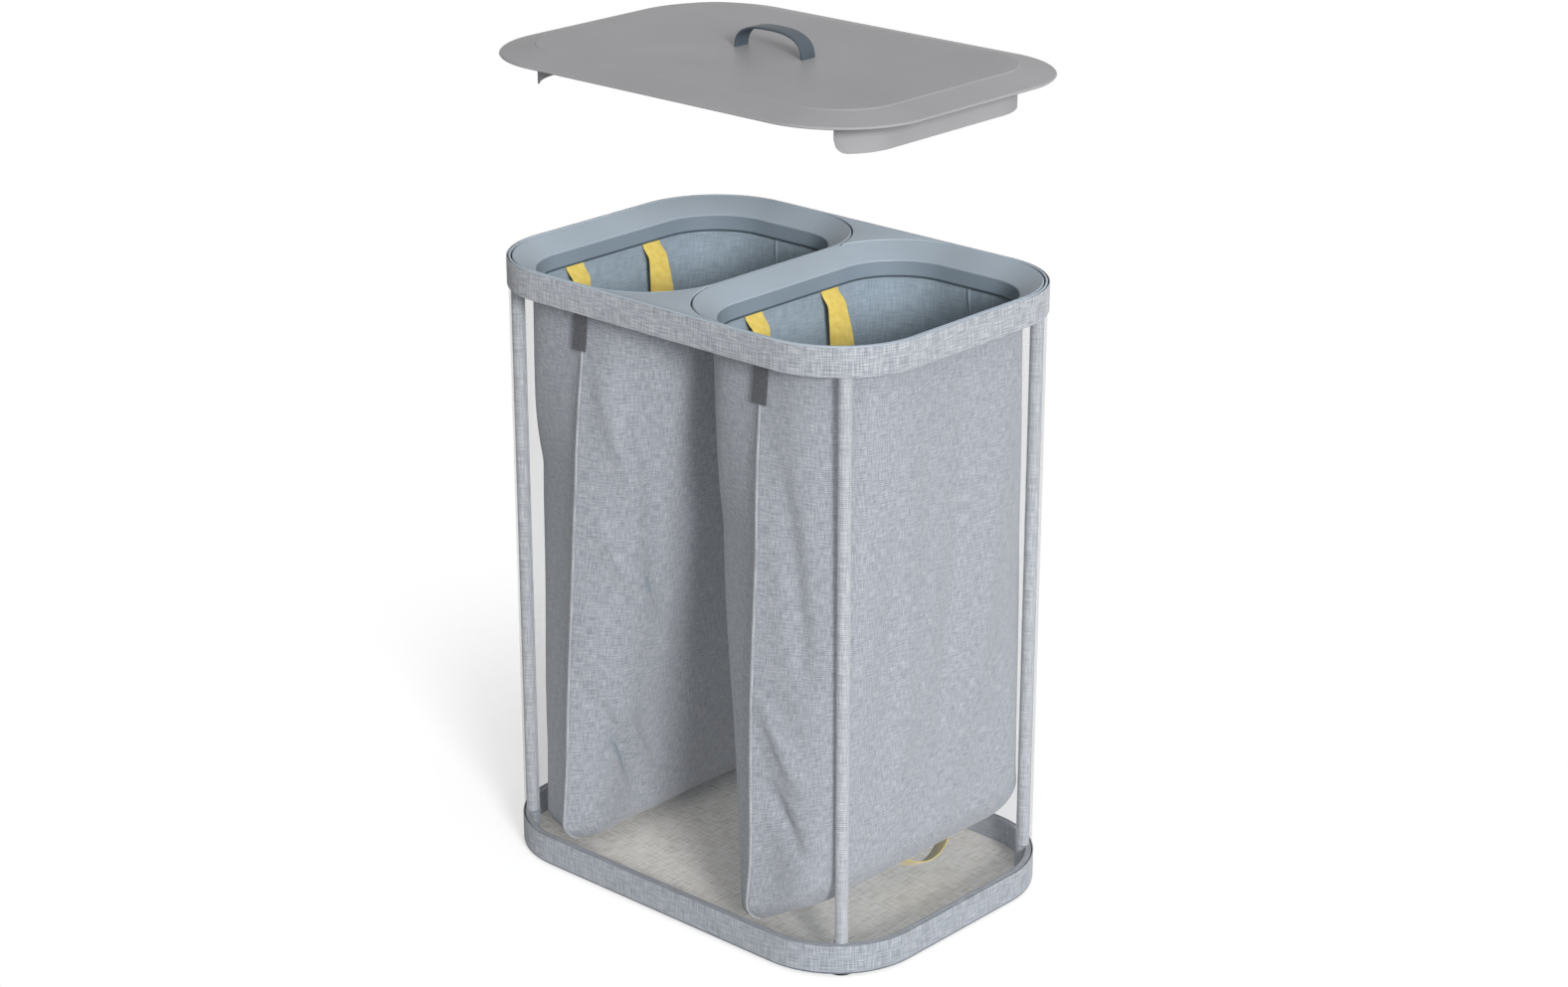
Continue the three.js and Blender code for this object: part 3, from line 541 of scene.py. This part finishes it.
rim = {
    "middleX": 132.15, "halfX": 131.65, "halfY": 183.8, "radius": 96.8,
    "profile": [(0, 679.3), (0, 690.0), (1.2, 691.0), (24.6, 675.9), (25.2, 674.9),
                (25.2, 659.0), (25.2, 656.5), (23.0, 656.5), (23.0, 659.0), (23.0, 674.3),
                (2.2, 687.7), (2.2, 679.3)],
    "edges": [0.3, 1.2, 1.2, 1.5, 1.5, 0.0, 0.8, 0.5, 0.0, 0.8, 0.8, 0.3],
    "wallTop": 674.5, "lipShadowTop": 658.9,  # where the wall painted darker as its shade, and its lower lip painted as a shadow line, start
}
# A seam is a list of (height, x). A fold is its place from the front seam at its top and at its
# bottom, its two heights, how far it stands out or in, and its width.
bags = {
    "left_bag": {
        "side": -1, "narrowing": 66.0, "corner": 34.0, "drift": -39.0, "bottom": 22.0,
        "slant": 0.2, "tagAside": 9.0, "grabAside": 42.0, "turned": 0.52,
        "seamFront": [(30, -156), (131, -144), (463, -119), (596, -118), (673, -121)],
        "folds": [(60, 96, 630, 230, -9.0, 16), (14, 92, 230, 60, -10.0, 10),
                  (40, 112, 205, 66, 8.0, 10), (30, 120, 420, 240, 8.0, 16),
                  (24, 70, 600, 430, 7.0, 14)]},
    "right_bag": {
        "side": 1, "narrowing": 40.0, "corner": 50.0, "drift": 25.0, "bottom": 42.5,
        "slant": 0.57, "tagAside": 0.0, "grabAside": 24.0, "turned": 0.5,
        "seamFront": [(30, 124), (112, 132), (216, 134), (463, 139), (596, 134), (673, 131)],
        "folds": [(26, 58, 560, 300, -7.0, 12), (176, 190, 640, 90, 6.0, 18),
                  (262, 250, 650, 100, -7.0, 16), (10, 58, 300, 190, 8.0, 10),
                  (12, 62, 210, 110, -9.0, 9), (330, 300, 630, 200, 5.0, 16)]},
}
bagShape = {
    "inset": 22.7, "top": 672.58, "straight": 24.0, "thickness": 1.6, "belly": 32.0,
    "bellyInset": 2.0, "leastRadius": 4.0, "swell": 7.0, "taperPower": 1.25, "slantPower": 3,
    "ridge": 14.0, "ridgeWidth": 34.0,  # the front and back seams stand out
    "setIn": 3, "waveSetIn": 2.5,  # ridges and waves are full this many times before the bottom
    "foldEase": 0.7, "waves": 14, "waveDepth": 7.0, "waveSlant": 0.012,
    "bend": 6.0, "bendShare": 0.3,  # rounding where the cloth turns aside, at most and by its way
    "seed": 5,
}
bagSteps = {"around": 240, "belly": 16, "wall": 90, "hem": 8}
bagSeam = {"width": 3.0, "thickness": 2.0, "edge": 0.9, "firstRow": 6}


# The bag's section at a height, as in the frame: half sizes, corner radius, middle and slant.
# Each goes from its value under the rim to that at the bottom by the share of the way down.
def bagSection(bag, height):
    taperTop = bagShape["top"] - bagShape["straight"]
    taperBottom = bag["bottom"] + bagShape["belly"]
    share = np.clip((taperTop - height) / (taperTop - taperBottom), 0, 1)
    taper = share ** bagShape["taperPower"]
    startRadius = rim["radius"] - bagShape["inset"]
    return {
        "halfX": rim["halfX"] - bagShape["inset"] - bag["narrowing"] * taper,
        "halfY": rim["halfY"] - bagShape["inset"] + bagShape["swell"] * np.sin(
            share * quarterTurn),
        "radius": startRadius + (bag["corner"] - startRadius) * taper,
        "middleX": bag["side"] * rim["middleX"] + bag["drift"] * taper,
        "slant": bag["slant"] * share ** bagShape["slantPower"],
        "share": share,
    }


# A point of a rounded rectangle by its distance along the edge, from the middle of the front
# towards +X. One quarter is worked out, and the other three are its mirror images.
def edgePoint(halfX, halfY, radius, distance):
    flat, arc, side = halfX - radius, radius * quarterTurn, halfY - radius
    quarter = flat + arc + side
    index = np.floor(distance / quarter).astype(int) % 4
    place = distance - np.floor(distance / quarter) * quarter
    place = np.where(index % 2 == 1, quarter - place, place)
    turn = np.clip((place - flat) / radius, 0, quarterTurn)
    x = np.minimum(place, flat) + radius * np.sin(turn)
    y = -side - radius * np.cos(turn) + np.maximum(place - flat - arc, 0)
    normal = np.stack([np.sin(turn), -np.cos(turn)], axis=-1)
    flip = np.stack([np.where(index >= 2, -1, 1),
                     np.where((index == 1) | (index == 2), -1, 1)], axis=-1)
    return np.stack([x, y], axis=-1) * flip, normal * flip


# How far along the edge of the section the front seam lies, from the middle of the front: the
# flat part counts as it is, and what lies past it as the length of its arc
def seamDistance(bag, section, height):
    heights, places = np.array(bag["seamFront"], float).T
    offset = np.interp(height, heights, places) - section["middleX"]
    flat = section["halfX"] - section["radius"]
    past = np.maximum(np.abs(offset) - flat, 0) / section["radius"]
    bend = section["radius"] * np.arcsin(np.clip(past, 0, 0.95))
    return np.sign(offset) * (np.minimum(np.abs(offset), flat) + bend)


# Outward shift of the cloth: the sewn ridges, the folds, and low waves of several lengths that
# run down the cloth at a slant. Distance is measured round the bag from the front seam.
def clothShift(bag, distance, length, height, share):
    fromFront = np.minimum(distance, length - distance)
    fromBack = np.abs(distance - length / 2)
    amount = bagShape["ridge"] * np.sin(np.clip(share * bagShape["setIn"], 0, 1) * quarterTurn)
    shift = amount * (np.exp(-fromFront / bagShape["ridgeWidth"]) +
                      np.exp(-fromBack / bagShape["ridgeWidth"]))
    signed = np.where(distance > length / 2, distance - length, distance)
    for topPlace, bottomPlace, topHeight, bottomHeight, depth, width in bag["folds"]:
        run = np.clip((topHeight - height) / (topHeight - bottomHeight), 0, 1)
        middle = topPlace + (bottomPlace - topPlace) * run
        inside = (height < topHeight) & (height > bottomHeight)
        fade = np.sin(run * np.pi) ** bagShape["foldEase"] * inside
        shift = shift + depth * fade * np.exp(-((signed - middle) / width) ** 2)
    random = np.random.default_rng(bagShape["seed"] + bag["side"])
    waves = 0
    for _ in range(bagShape["waves"]):
        count = random.integers(2, 11)
        rise = random.normal(0, bagShape["waveSlant"])
        phase = random.uniform(0, 2 * np.pi)
        wave = np.sin(2 * np.pi * count * distance / length + rise * height + phase)
        waves = waves + wave / bagShape["waves"]
    return shift + bagShape["waveDepth"] * waves * np.clip(share * bagShape["waveSetIn"], 0, 1)


# The cloth towards -X of the front seam is turned aside: it is pressed back onto a slanting
# plane that starts at the seam. The smooth larger of y and the plane is their mean plus half
# the root of their difference squared plus a rounding squared.
def turnAside(points, turned):
    seamX, seamY = points[:, :1, 0], points[:, :1, 1]
    aside = np.maximum(seamX - points[..., 0], 0)
    plane = seamY + turned * aside
    y = points[..., 1]
    rounding = np.minimum(bagShape["bend"], bagShape["bendShare"] * aside)
    pressed = (y + plane + np.sqrt((y - plane) ** 2 + rounding ** 2)) / 2
    points[..., 1] = np.where((aside > 0) & (y < 0), pressed, y)
    return points


# One skin of the bag as rows of rings, from the underside up to the hem. A ring is the section's
# edge from the front seam round, moved out by the shift of the cloth. Below the walls a quarter
# circle takes it in, and the height rises with x by the slant.
def bagSkin(bag, growth):
    belly = bagShape["belly"] + growth - bagShape["bellyInset"]
    bellyTop = bag["bottom"] + bagShape["belly"]
    hemBottom = bagShape["top"] - bagShape["straight"]
    angle = np.linspace(quarterTurn, 0, bagSteps["belly"], endpoint=False)
    height = np.r_[
        bellyTop - belly * np.sin(angle), np.linspace(bellyTop, hemBottom, bagSteps["wall"]),
        np.linspace(hemBottom, bagShape["top"], bagSteps["hem"])[1:]][:, None]
    sectionHeight = np.maximum(height, bellyTop)
    shrink = np.zeros(height.shape)
    shrink[:len(angle), 0] = belly * (1 - np.cos(angle))
    section = bagSection(bag, sectionHeight)
    halfX = section["halfX"] + growth - shrink
    halfY = section["halfY"] + growth - shrink
    radius = np.maximum(section["radius"] + growth - shrink, bagShape["leastRadius"])
    length = 4 * (halfX + halfY - 2 * radius) + 2 * np.pi * radius
    distance = np.linspace(0, 1, bagSteps["around"], endpoint=False)[None, :] * length
    start = seamDistance(bag, section, sectionHeight)
    point, normal = edgePoint(halfX, halfY, radius, (start + distance) % length)
    bellyFade = np.cos(np.arcsin(np.clip((bellyTop - height) / belly, 0, 1)))
    shift = clothShift(bag, distance, length, height, section["share"])
    point = point + normal * (shift * bellyFade)[..., None]
    points = np.stack([point[..., 0] + section["middleX"], point[..., 1],
                       height + section["slant"] * point[..., 0]], axis=2)
    points = turnAside(points, bag["turned"] * np.clip(section["share"] * bagShape["setIn"], 0, 1))
    around = np.concatenate([distance, length], axis=1)
    climbed = travelled(points[:, 0])[:, None]
    return points, np.stack(np.broadcast_arrays(around, climbed), axis=2), normal


# Gives each face of a piece one of its materials, and adds those that it lacks
def finishFaces(piece, chosen, *others):
    for material in others:
        piece.data.materials.append(material)
    piece.data.polygons.foreach_set("material_index", chosen.astype(np.int32))


for body, bag in bags.items():
    outer, outerUv, outerNormal = bagSkin(bag, bagShape["thickness"])
    inner, innerUv, innerNormal = bagSkin(bag, 0.0)
    piece = gridPiece(body + "_cloth", body, bagCloth,
                      np.concatenate([outer, inner[::-1]]),
                      np.concatenate([outerUv, innerUv[::-1]]))
    inside = np.arange(len(piece.data.polygons)) >= outer.shape[0] * outer.shape[1]
    finishFaces(piece, inside, liningCloth)
    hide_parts(body + "_body")
    rimPath = outline(rim["halfX"], rim["halfY"], rim["radius"], bag["side"] * rim["middleX"],
                      24, 10)
    piece = ringPiece(body + "_rim_moulding", body, rimPlastic, rim["profile"],
                      rimPath, rim["edges"])
    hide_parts(body + "_rim")
    # The wall's faces are painted darker as shade, and its lowest edge as the shadow line where it
    # meets the cloth
    centres = np.empty(len(piece.data.polygons) * 3)
    piece.data.polygons.foreach_get("center", centres)
    height = centres[2::3] / metres
    finishFaces(piece, 1 * (height < rim["wallTop"]) + (height < rim["lipShadowTop"]), rimWallShadePlastic,
                rimLipShadowPlastic)
    faces = {  # where a seam lies: (skin, outward normals, cloth, how proud, last row)
        "": (outer, outerNormal, sleeveCloth, 0.9, 112),
        "_inside": (inner, -innerNormal, liningCloth, 0.4, 108),
    }
    for where, (skin, normal, cloth, proud, lastRow) in faces.items():
        for end, column in (("front", 0), ("back", bagSteps["around"] // 2)):
            rows = slice(bagSeam["firstRow"], lastRow)
            direction = np.pad(normal[rows, column], ((0, 0), (0, 1)))
            strapPiece(f"{body}_seam_{end}{where}", body, cloth,
                       skin[rows, column] + direction * proud, direction,
                       sectionOf(bagSeam))
print("bags made")

# Handles, grab loops and tags

handle = {"width": 26.0, "thickness": 1.5, "edge": 0.7, "span": 118.0, "drop": 185.0,
          "lean": 6.0, "top": 656.2, "gap": 0.3, "bulge": 10.0, "bulgeHeight": 16.0,
          "legSteps": 30, "turnSteps": 40}


# A share eased in and out: its square times three less twice itself
def eased(share):
    return share ** 2 * (3 - 2 * share)


# A handle's middle line and normals: down one leg, round the loop and up the other, with a
# quarter twist in each leg, and bowed off the wall just under the rim
def handlePath(bag, side):
    radius = handle["span"] / 2
    turnTop = handle["top"] - (handle["drop"] - radius)
    share = np.linspace(0, 1, handle["legSteps"], endpoint=False)
    angle = np.linspace(0, np.pi, handle["turnSteps"])
    leg = np.ones(len(share))
    legHeight = handle["top"] + (turnTop - handle["top"]) * share
    legTwist = eased(share) * quarterTurn
    height = np.r_[legHeight, turnTop - radius * np.sin(angle), legHeight[::-1]]
    twist = np.r_[legTwist, np.full(len(angle), quarterTurn), legTwist[::-1]]
    planeY = np.r_[-leg, -np.cos(angle), leg]
    planeZ = np.r_[0 * leg, -np.sin(angle), 0 * leg]
    section = bagSection(bag, height)
    down = handle["top"] - height
    reach = (handle["width"] * np.sin(twist) + handle["thickness"] * np.cos(twist)) / 2
    bulge = eased(np.clip(down / handle["bulgeHeight"], 0, 1))
    inward = handle["gap"] + reach + handle["lean"] * down / handle["drop"] + \
        handle["bulge"] * bulge * np.cos(twist) ** 2
    x = section["middleX"] + side * (section["halfX"] - inward)
    path = np.stack([x, -side * radius * planeY, height], axis=1)
    normals = np.stack([side * np.cos(twist), -side * planeY * np.sin(twist),
                        planeZ * np.sin(twist)], axis=1)
    return path, normals


grab = {"width": 20.0, "thickness": 1.5, "edge": 0.7, "span": 72.0, "reach": 13.0,
        "middleY": 38.0, "gap": 1.1, "steps": 40}


# A grab loop: both ends lie on the underside, and the middle stands off by a squared sine
def grabPath(bag):
    section = bagSection(bag, np.array([bag["bottom"]]))
    halfX, middleX, slant = (float(section[key][0]) for key in ("halfX", "middleX", "slant"))
    flatHalf = halfX + bagShape["bellyInset"] - bagShape["belly"]
    past = np.clip((bag["grabAside"] - flatHalf) / bagShape["belly"], 0, 1)
    turn = np.arccos(past)
    aside = bag["side"] * bag["grabAside"]
    surface = bag["bottom"] + bagShape["belly"] * (1 - np.sin(turn)) + slant * aside
    outward = unit(np.array([bag["side"] * past + slant * np.sin(turn), 0, -np.sin(turn)]))
    angle = np.linspace(0, np.pi, grab["steps"])
    path = np.array([middleX + aside, grab["middleY"], surface]) + \
        outward * (grab["gap"] + grab["reach"] * np.sin(angle)[:, None] ** 2)
    path[:, 1] -= np.cos(angle) * grab["span"] / 2
    return path, np.tile(outward, (len(angle), 1))


tag = {"width": 18.0, "height": 38.0, "top": 649.0, "thickness": 0.9, "edge": 0.4,
       "flare": 3.0, "gap": 2.3, "layers": (2.4, 0.6), "steps": 16, "foldSteps": 10}


# A tag: down the outer layer, round the fold, and up the inner layer, flared off the bag
def tagPath(bag):
    section = bagSection(bag, np.array([tag["top"] - tag["height"]]))
    face = -float(section["halfY"][0]) - tag["gap"]
    down = np.linspace(0, 1, tag["steps"])
    angle = np.linspace(0, np.pi, tag["foldSteps"])[1:-1]
    outerY, innerY = (face - layer - tag["flare"] * down ** 2 for layer in tag["layers"])
    fold = (tag["layers"][0] - tag["layers"][1]) / 2
    foldTop = tag["top"] - tag["height"] + fold
    z = tag["top"] + (foldTop - tag["top"]) * down
    y = np.r_[outerY, (outerY[-1] + innerY[-1]) / 2 - fold * np.cos(angle), innerY[::-1]]
    height = np.r_[z, foldTop - fold * np.sin(angle), z[::-1]]
    x = bag["side"] * rim["middleX"] + bag["tagAside"]
    path = np.stack([np.full(len(y), x), y, height], axis=1)
    normals = np.concatenate([np.tile([0.0, -1, 0], (tag["steps"], 1)),
                              np.stack([0 * angle, -np.cos(angle), -np.sin(angle)], axis=1),
                              np.tile([0.0, 1, 0], (tag["steps"], 1))])
    return path, normals


for body, bag in bags.items():
    straps = [  # (name, node, slot, material, path and normals, sizes)
        ("webbing_west", "handle_west", "yellow_webbing", webbing, handlePath(bag, -1), handle),
        ("webbing_east", "handle_east", "yellow_webbing", webbing, handlePath(bag, 1), handle),
        ("grab_webbing", "grab_loop", "yellow_webbing", webbing, grabPath(bag), grab),
        ("tag_ribbon", "tag", "tag_fabric", tagCloth, tagPath(bag), tag),
    ]
    for name, node, slotName, material, (path, normals), sizes in straps:
        piece = strapPiece(f"{body}_{name}", body, material, path, normals,
                           sectionOf(sizes))
        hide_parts(f"{body}_{node}")
print("webbing and tags made")

# Lid

lid = {
    "profile": [(100, 11.4), (60, 11.4), (38.6, 11.4), (37.4, 10.5), (1.5, 3.0), (0, 1.5),
                (1.5, 0.0), (37.0, 7.9), (39.5, 8.9), (60, 8.9), (100, 8.9)],
    "edges": [0, 0, 0.9, 0.9, 1.4, 1.2, 1.4, 1.0, 1.0, 0, 0],
    "skirt": {"inset": 39.5, "thickness": 2.0, "depth": 33.0, "start": 204.0, "rounding": 14.0,
              "top": 8.6, "edge": 0.7, "arcSteps": 30, "sideSteps": 24},
    "handle": {"span": 92.0, "rise": 26.0, "width": 20.0, "thickness": 2.4, "edge": 0.8,
               "squareness": 2.6, "base": 11.4,  # the panel's upper face
               "tab": 13.0, "tabStart": 4, "tabHeight": 7.4, "bend": 1.5},
}
lidOutline = (hamper["halfX"] + 1, hamper["halfY"] + 1, hamper["radius"] + 1)
profile = filleted(lid["profile"], lid["edges"]) + [0, hamper["lidHeight"]]
piece = gridPiece("lid_panel", "lid", lidPlastic,
                  ringPoints(profile, outline(*lidOutline, arcSteps=28, sideSteps=12)))
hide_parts("lid_shell")


# A skirt: an upright wall that follows the lid's outline round one end, as sections carried
# along it. Near each end the lower edge rises by a quarter circle, radius less the root of the
# radius squared less what is short of it squared.
def skirtPoints(side):
    skirt = lid["skirt"]
    radius = lidOutline[2] - skirt["inset"]
    anchorX, anchorY = lidOutline[0] - lidOutline[2], lidOutline[1] - lidOutline[2]
    first = np.arccos((skirt["start"] - anchorX) / radius)
    turn = np.linspace(-first, 0, skirt["arcSteps"])
    flat = np.linspace(-anchorY, anchorY, skirt["sideSteps"])[1:-1]
    angle = np.r_[turn, 0 * flat, -turn[::-1]]
    y = np.r_[np.full(len(turn), -anchorY), flat, np.full(len(turn), anchorY)]
    outward = np.stack([np.cos(angle), np.sin(angle)], axis=1)
    middle = np.stack([np.full(len(y), anchorX), y], axis=1)
    edge = middle + outward * radius
    way = travelled(edge)
    fromEnd = np.minimum(way, way[-1] - way)
    short = np.clip(skirt["rounding"] - fromEnd, 0, skirt["rounding"])
    bottom = -skirt["depth"] + skirt["rounding"] - np.sqrt(skirt["rounding"] ** 2 - short ** 2)
    rows = []
    for centre, normal, low in zip(middle, outward, bottom):
        shape = filleted(rectangle(radius, radius - skirt["thickness"], low, skirt["top"]),
                         skirt["edge"], 3)
        level = side * (centre + normal * shape[:, :1])
        rows.append(np.column_stack([level, shape[:, 1] + hamper["lidHeight"]]))
    return np.array(rows)


for side, name in ((-1, "left"), (1, "right")):
    piece = gridPiece("lid_collar_" + name, "lid", lidPlastic, skirtPoints(side))
    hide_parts("lid_skirt_" + name)

# The lid's handle: a superellipse arch, cosine and sine raised to two over the squareness, whose
# ends turn in under the lid
strap = lid["handle"]
angle = np.linspace(np.pi, 0, 70)
power = 2 / strap["squareness"]
halfSpan, tabHeight = strap["span"] / 2, strap["tabHeight"]
archX = np.sign(np.cos(angle)) * np.abs(np.cos(angle)) ** power * halfSpan
archZ = strap["base"] + np.abs(np.sin(angle)) ** power * (strap["rise"] - strap["thickness"] / 2)
bend = np.linspace(0, quarterTurn, 8)
bendX = -halfSpan + strap["bend"] * (1 - np.sin(bend))
bendZ = tabHeight + strap["bend"] * (1 - np.cos(bend))
tabX = np.array([strap["tab"] - halfSpan, strap["tabStart"] - halfSpan])
tabZ = [tabHeight, tabHeight]
x = np.r_[tabX, bendX, archX, -bendX[::-1], -tabX[::-1]]
z = np.r_[tabZ, bendZ, archZ, bendZ[::-1], tabZ]
path = np.stack([x, np.zeros(len(x)), z + hamper["lidHeight"]], axis=1)
normals = unit(np.cross(np.gradient(path, axis=0), [0.0, -1.0, 0.0]))
piece = strapPiece("lid_handle_strap", "lid", handlePlastic, path, normals,
                   sectionOf(strap))
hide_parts("lid_handle")
print("lid made")

# Finishes of the frame's own solids
finishes = {"floor_board": boardLinen, "handle_keeper_left": lidPlastic,
            "handle_keeper_right": lidPlastic}
finishes.update({"post_" + corner: steelTube for corner in cornerPlaces(0)})
for node, material in finishes.items():
    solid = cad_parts[node]
    solid.data.materials.clear()
    solid.data.materials.append(material)

# Camera and light


# Puts an object into the scene by two of its axes, the third square to both, and its place
def placeObject(name, data, sideways, backward, spot):
    placed = newObject(name, data)
    matrix = np.eye(4)
    upward = np.cross(backward, sideways)
    matrix[:3] = np.column_stack([sideways, upward, backward, spot * metres])
    placed.matrix_world = Matrix(matrix.tolist())
    return placed


view = {"azimuth": 42.19, "elevation": 20.66, "distance": 3551.0, "lens": 75.1, "sensor": 36.0,
        "target": (0.0, 0.0, 348.5), "aside": 9.9, "above": 80.9, "farthest": 50.0}
azimuth, elevation = np.radians(view["azimuth"]), np.radians(view["elevation"])
back = np.array([np.sin(azimuth) * np.cos(elevation), -np.cos(azimuth) * np.cos(elevation),
                 np.sin(elevation)])
right = np.array([np.cos(azimuth), np.sin(azimuth), 0.0])
up = np.cross(back, right)
spot = np.array(view["target"]) + back * view["distance"] + right * view["aside"] + \
    up * view["above"]
cameraData = bpy.data.cameras.new("camera")
cameraData.lens = view["lens"]
cameraData.sensor_width = view["sensor"]
cameraData.clip_end = view["farthest"]
bpy.context.scene.camera = placeObject("camera", cameraData, right, back, spot)

lamps = {  # name: (towards the lamp, apparent size in degrees, strength)
    "key": ((0.83, -0.46, 0.32), 14.0, 3.4),
    "front": ((0.50, -0.55, 0.67), 60.0, 0.5),
}
for name, (towards, size, strength) in lamps.items():
    data = bpy.data.lights.new(name, "SUN")
    data.angle = np.radians(size)
    data.energy = strength
    backward = unit(np.array(towards))
    sideways = unit(np.cross([0.0, 1.0, 0.0], backward))
    placeObject(name, data, sideways, backward, backward * 4000)

studio = {
    "leftGlow": 0.12, "rightGlow": 0.84,  # the light that comes from either side
    "floorHalf": 1.1, "fadeFrom": 0.42, "fadeTo": 1.0,  # the floor and its fade, in metres
    "floorGlow": 0.15, "floorSeen": 0.53, "floorColour": "#c6c6c6",
}
white = (1.0, 1.0, 1.0, 1.0)


# 1 where the camera sees a surface, straight or in a glossy or clear one, and 0 elsewhere
def seenShare(tree):
    ray = addNode(tree, "LightPath", {}).outputs
    glossy = addNode(tree, "Math", {"operation": "MAXIMUM"}, ray["Is Camera Ray"],
                     ray["Is Glossy Ray"])
    return addNode(tree, "Math", {"operation": "MAXIMUM"}, glossy, ray["Is Transmission Ray"])


# The studio is seen as plain white. Its light rises evenly from one side to the other.
world = bpy.data.worlds.new("studio")
bpy.context.scene.world = world
world.use_nodes = True
tree = world.node_tree
lit = tree.nodes["Background"]
lit.inputs["Color"].default_value = white
around = addNode(tree, "TexCoord", {}).outputs["Generated"]
glow = addNode(tree, "MapRange", {
    "From Min": -1.0, "From Max": 1.0, "To Min": studio["leftGlow"],
    "To Max": studio["rightGlow"]}, addNode(tree, "SeparateXYZ", {}, around))
joinInputs(tree, lit, {"Strength": glow})
seen = addNode(tree, "Background", {"Color": white})
mix = addNode(tree, "MixShader", {}, seenShare(tree), lit, seen)
joinInputs(tree, tree.nodes["World Output"], {"Surface": mix})

# Matt paper: it keeps the soft shadow, and fades out into the white studio away from the hamper.
# Seen by the camera it is as white as the studio, and it throws less light than that back up.
floorMesh = bpy.data.meshes.new("floor")
reach = studio["floorHalf"]
floorMesh.from_pydata([(-reach, -reach, 0), (reach, -reach, 0), (reach, reach, 0),
                       (-reach, reach, 0)], [], [(0, 1, 2, 3)])
floor = newObject("floor", floorMesh)
floorMaterial, tree, shader, places = newMaterial("Matt white paper sweep", {
    "Base Color": linear(studio["floorColour"]), "Roughness": 0.9, "Specular IOR Level": 0.1,
    "Emission Color": white})
floorGlow = addNode(tree, "MapRange", {
    "To Min": studio["floorGlow"], "To Max": studio["floorSeen"]}, seenShare(tree))
joinInputs(tree, shader, {"Emission Strength": floorGlow})
away = addNode(tree, "VectorMath", {"operation": "LENGTH"}, places["Object"]).outputs["Value"]
fade = addNode(tree, "MapRange", {
    "interpolation_type": "SMOOTHSTEP", "From Min": studio["fadeFrom"],
    "From Max": studio["fadeTo"]}, away)
blend = addNode(tree, "MixShader", {}, fade, shader, addNode(tree, "BsdfTransparent", {}))
joinInputs(tree, tree.nodes["Material Output"], {"Surface": blend})
floorMesh.materials.append(floorMaterial)
print("camera and light set")

bpy.context.scene.view_settings.view_transform = "Standard"
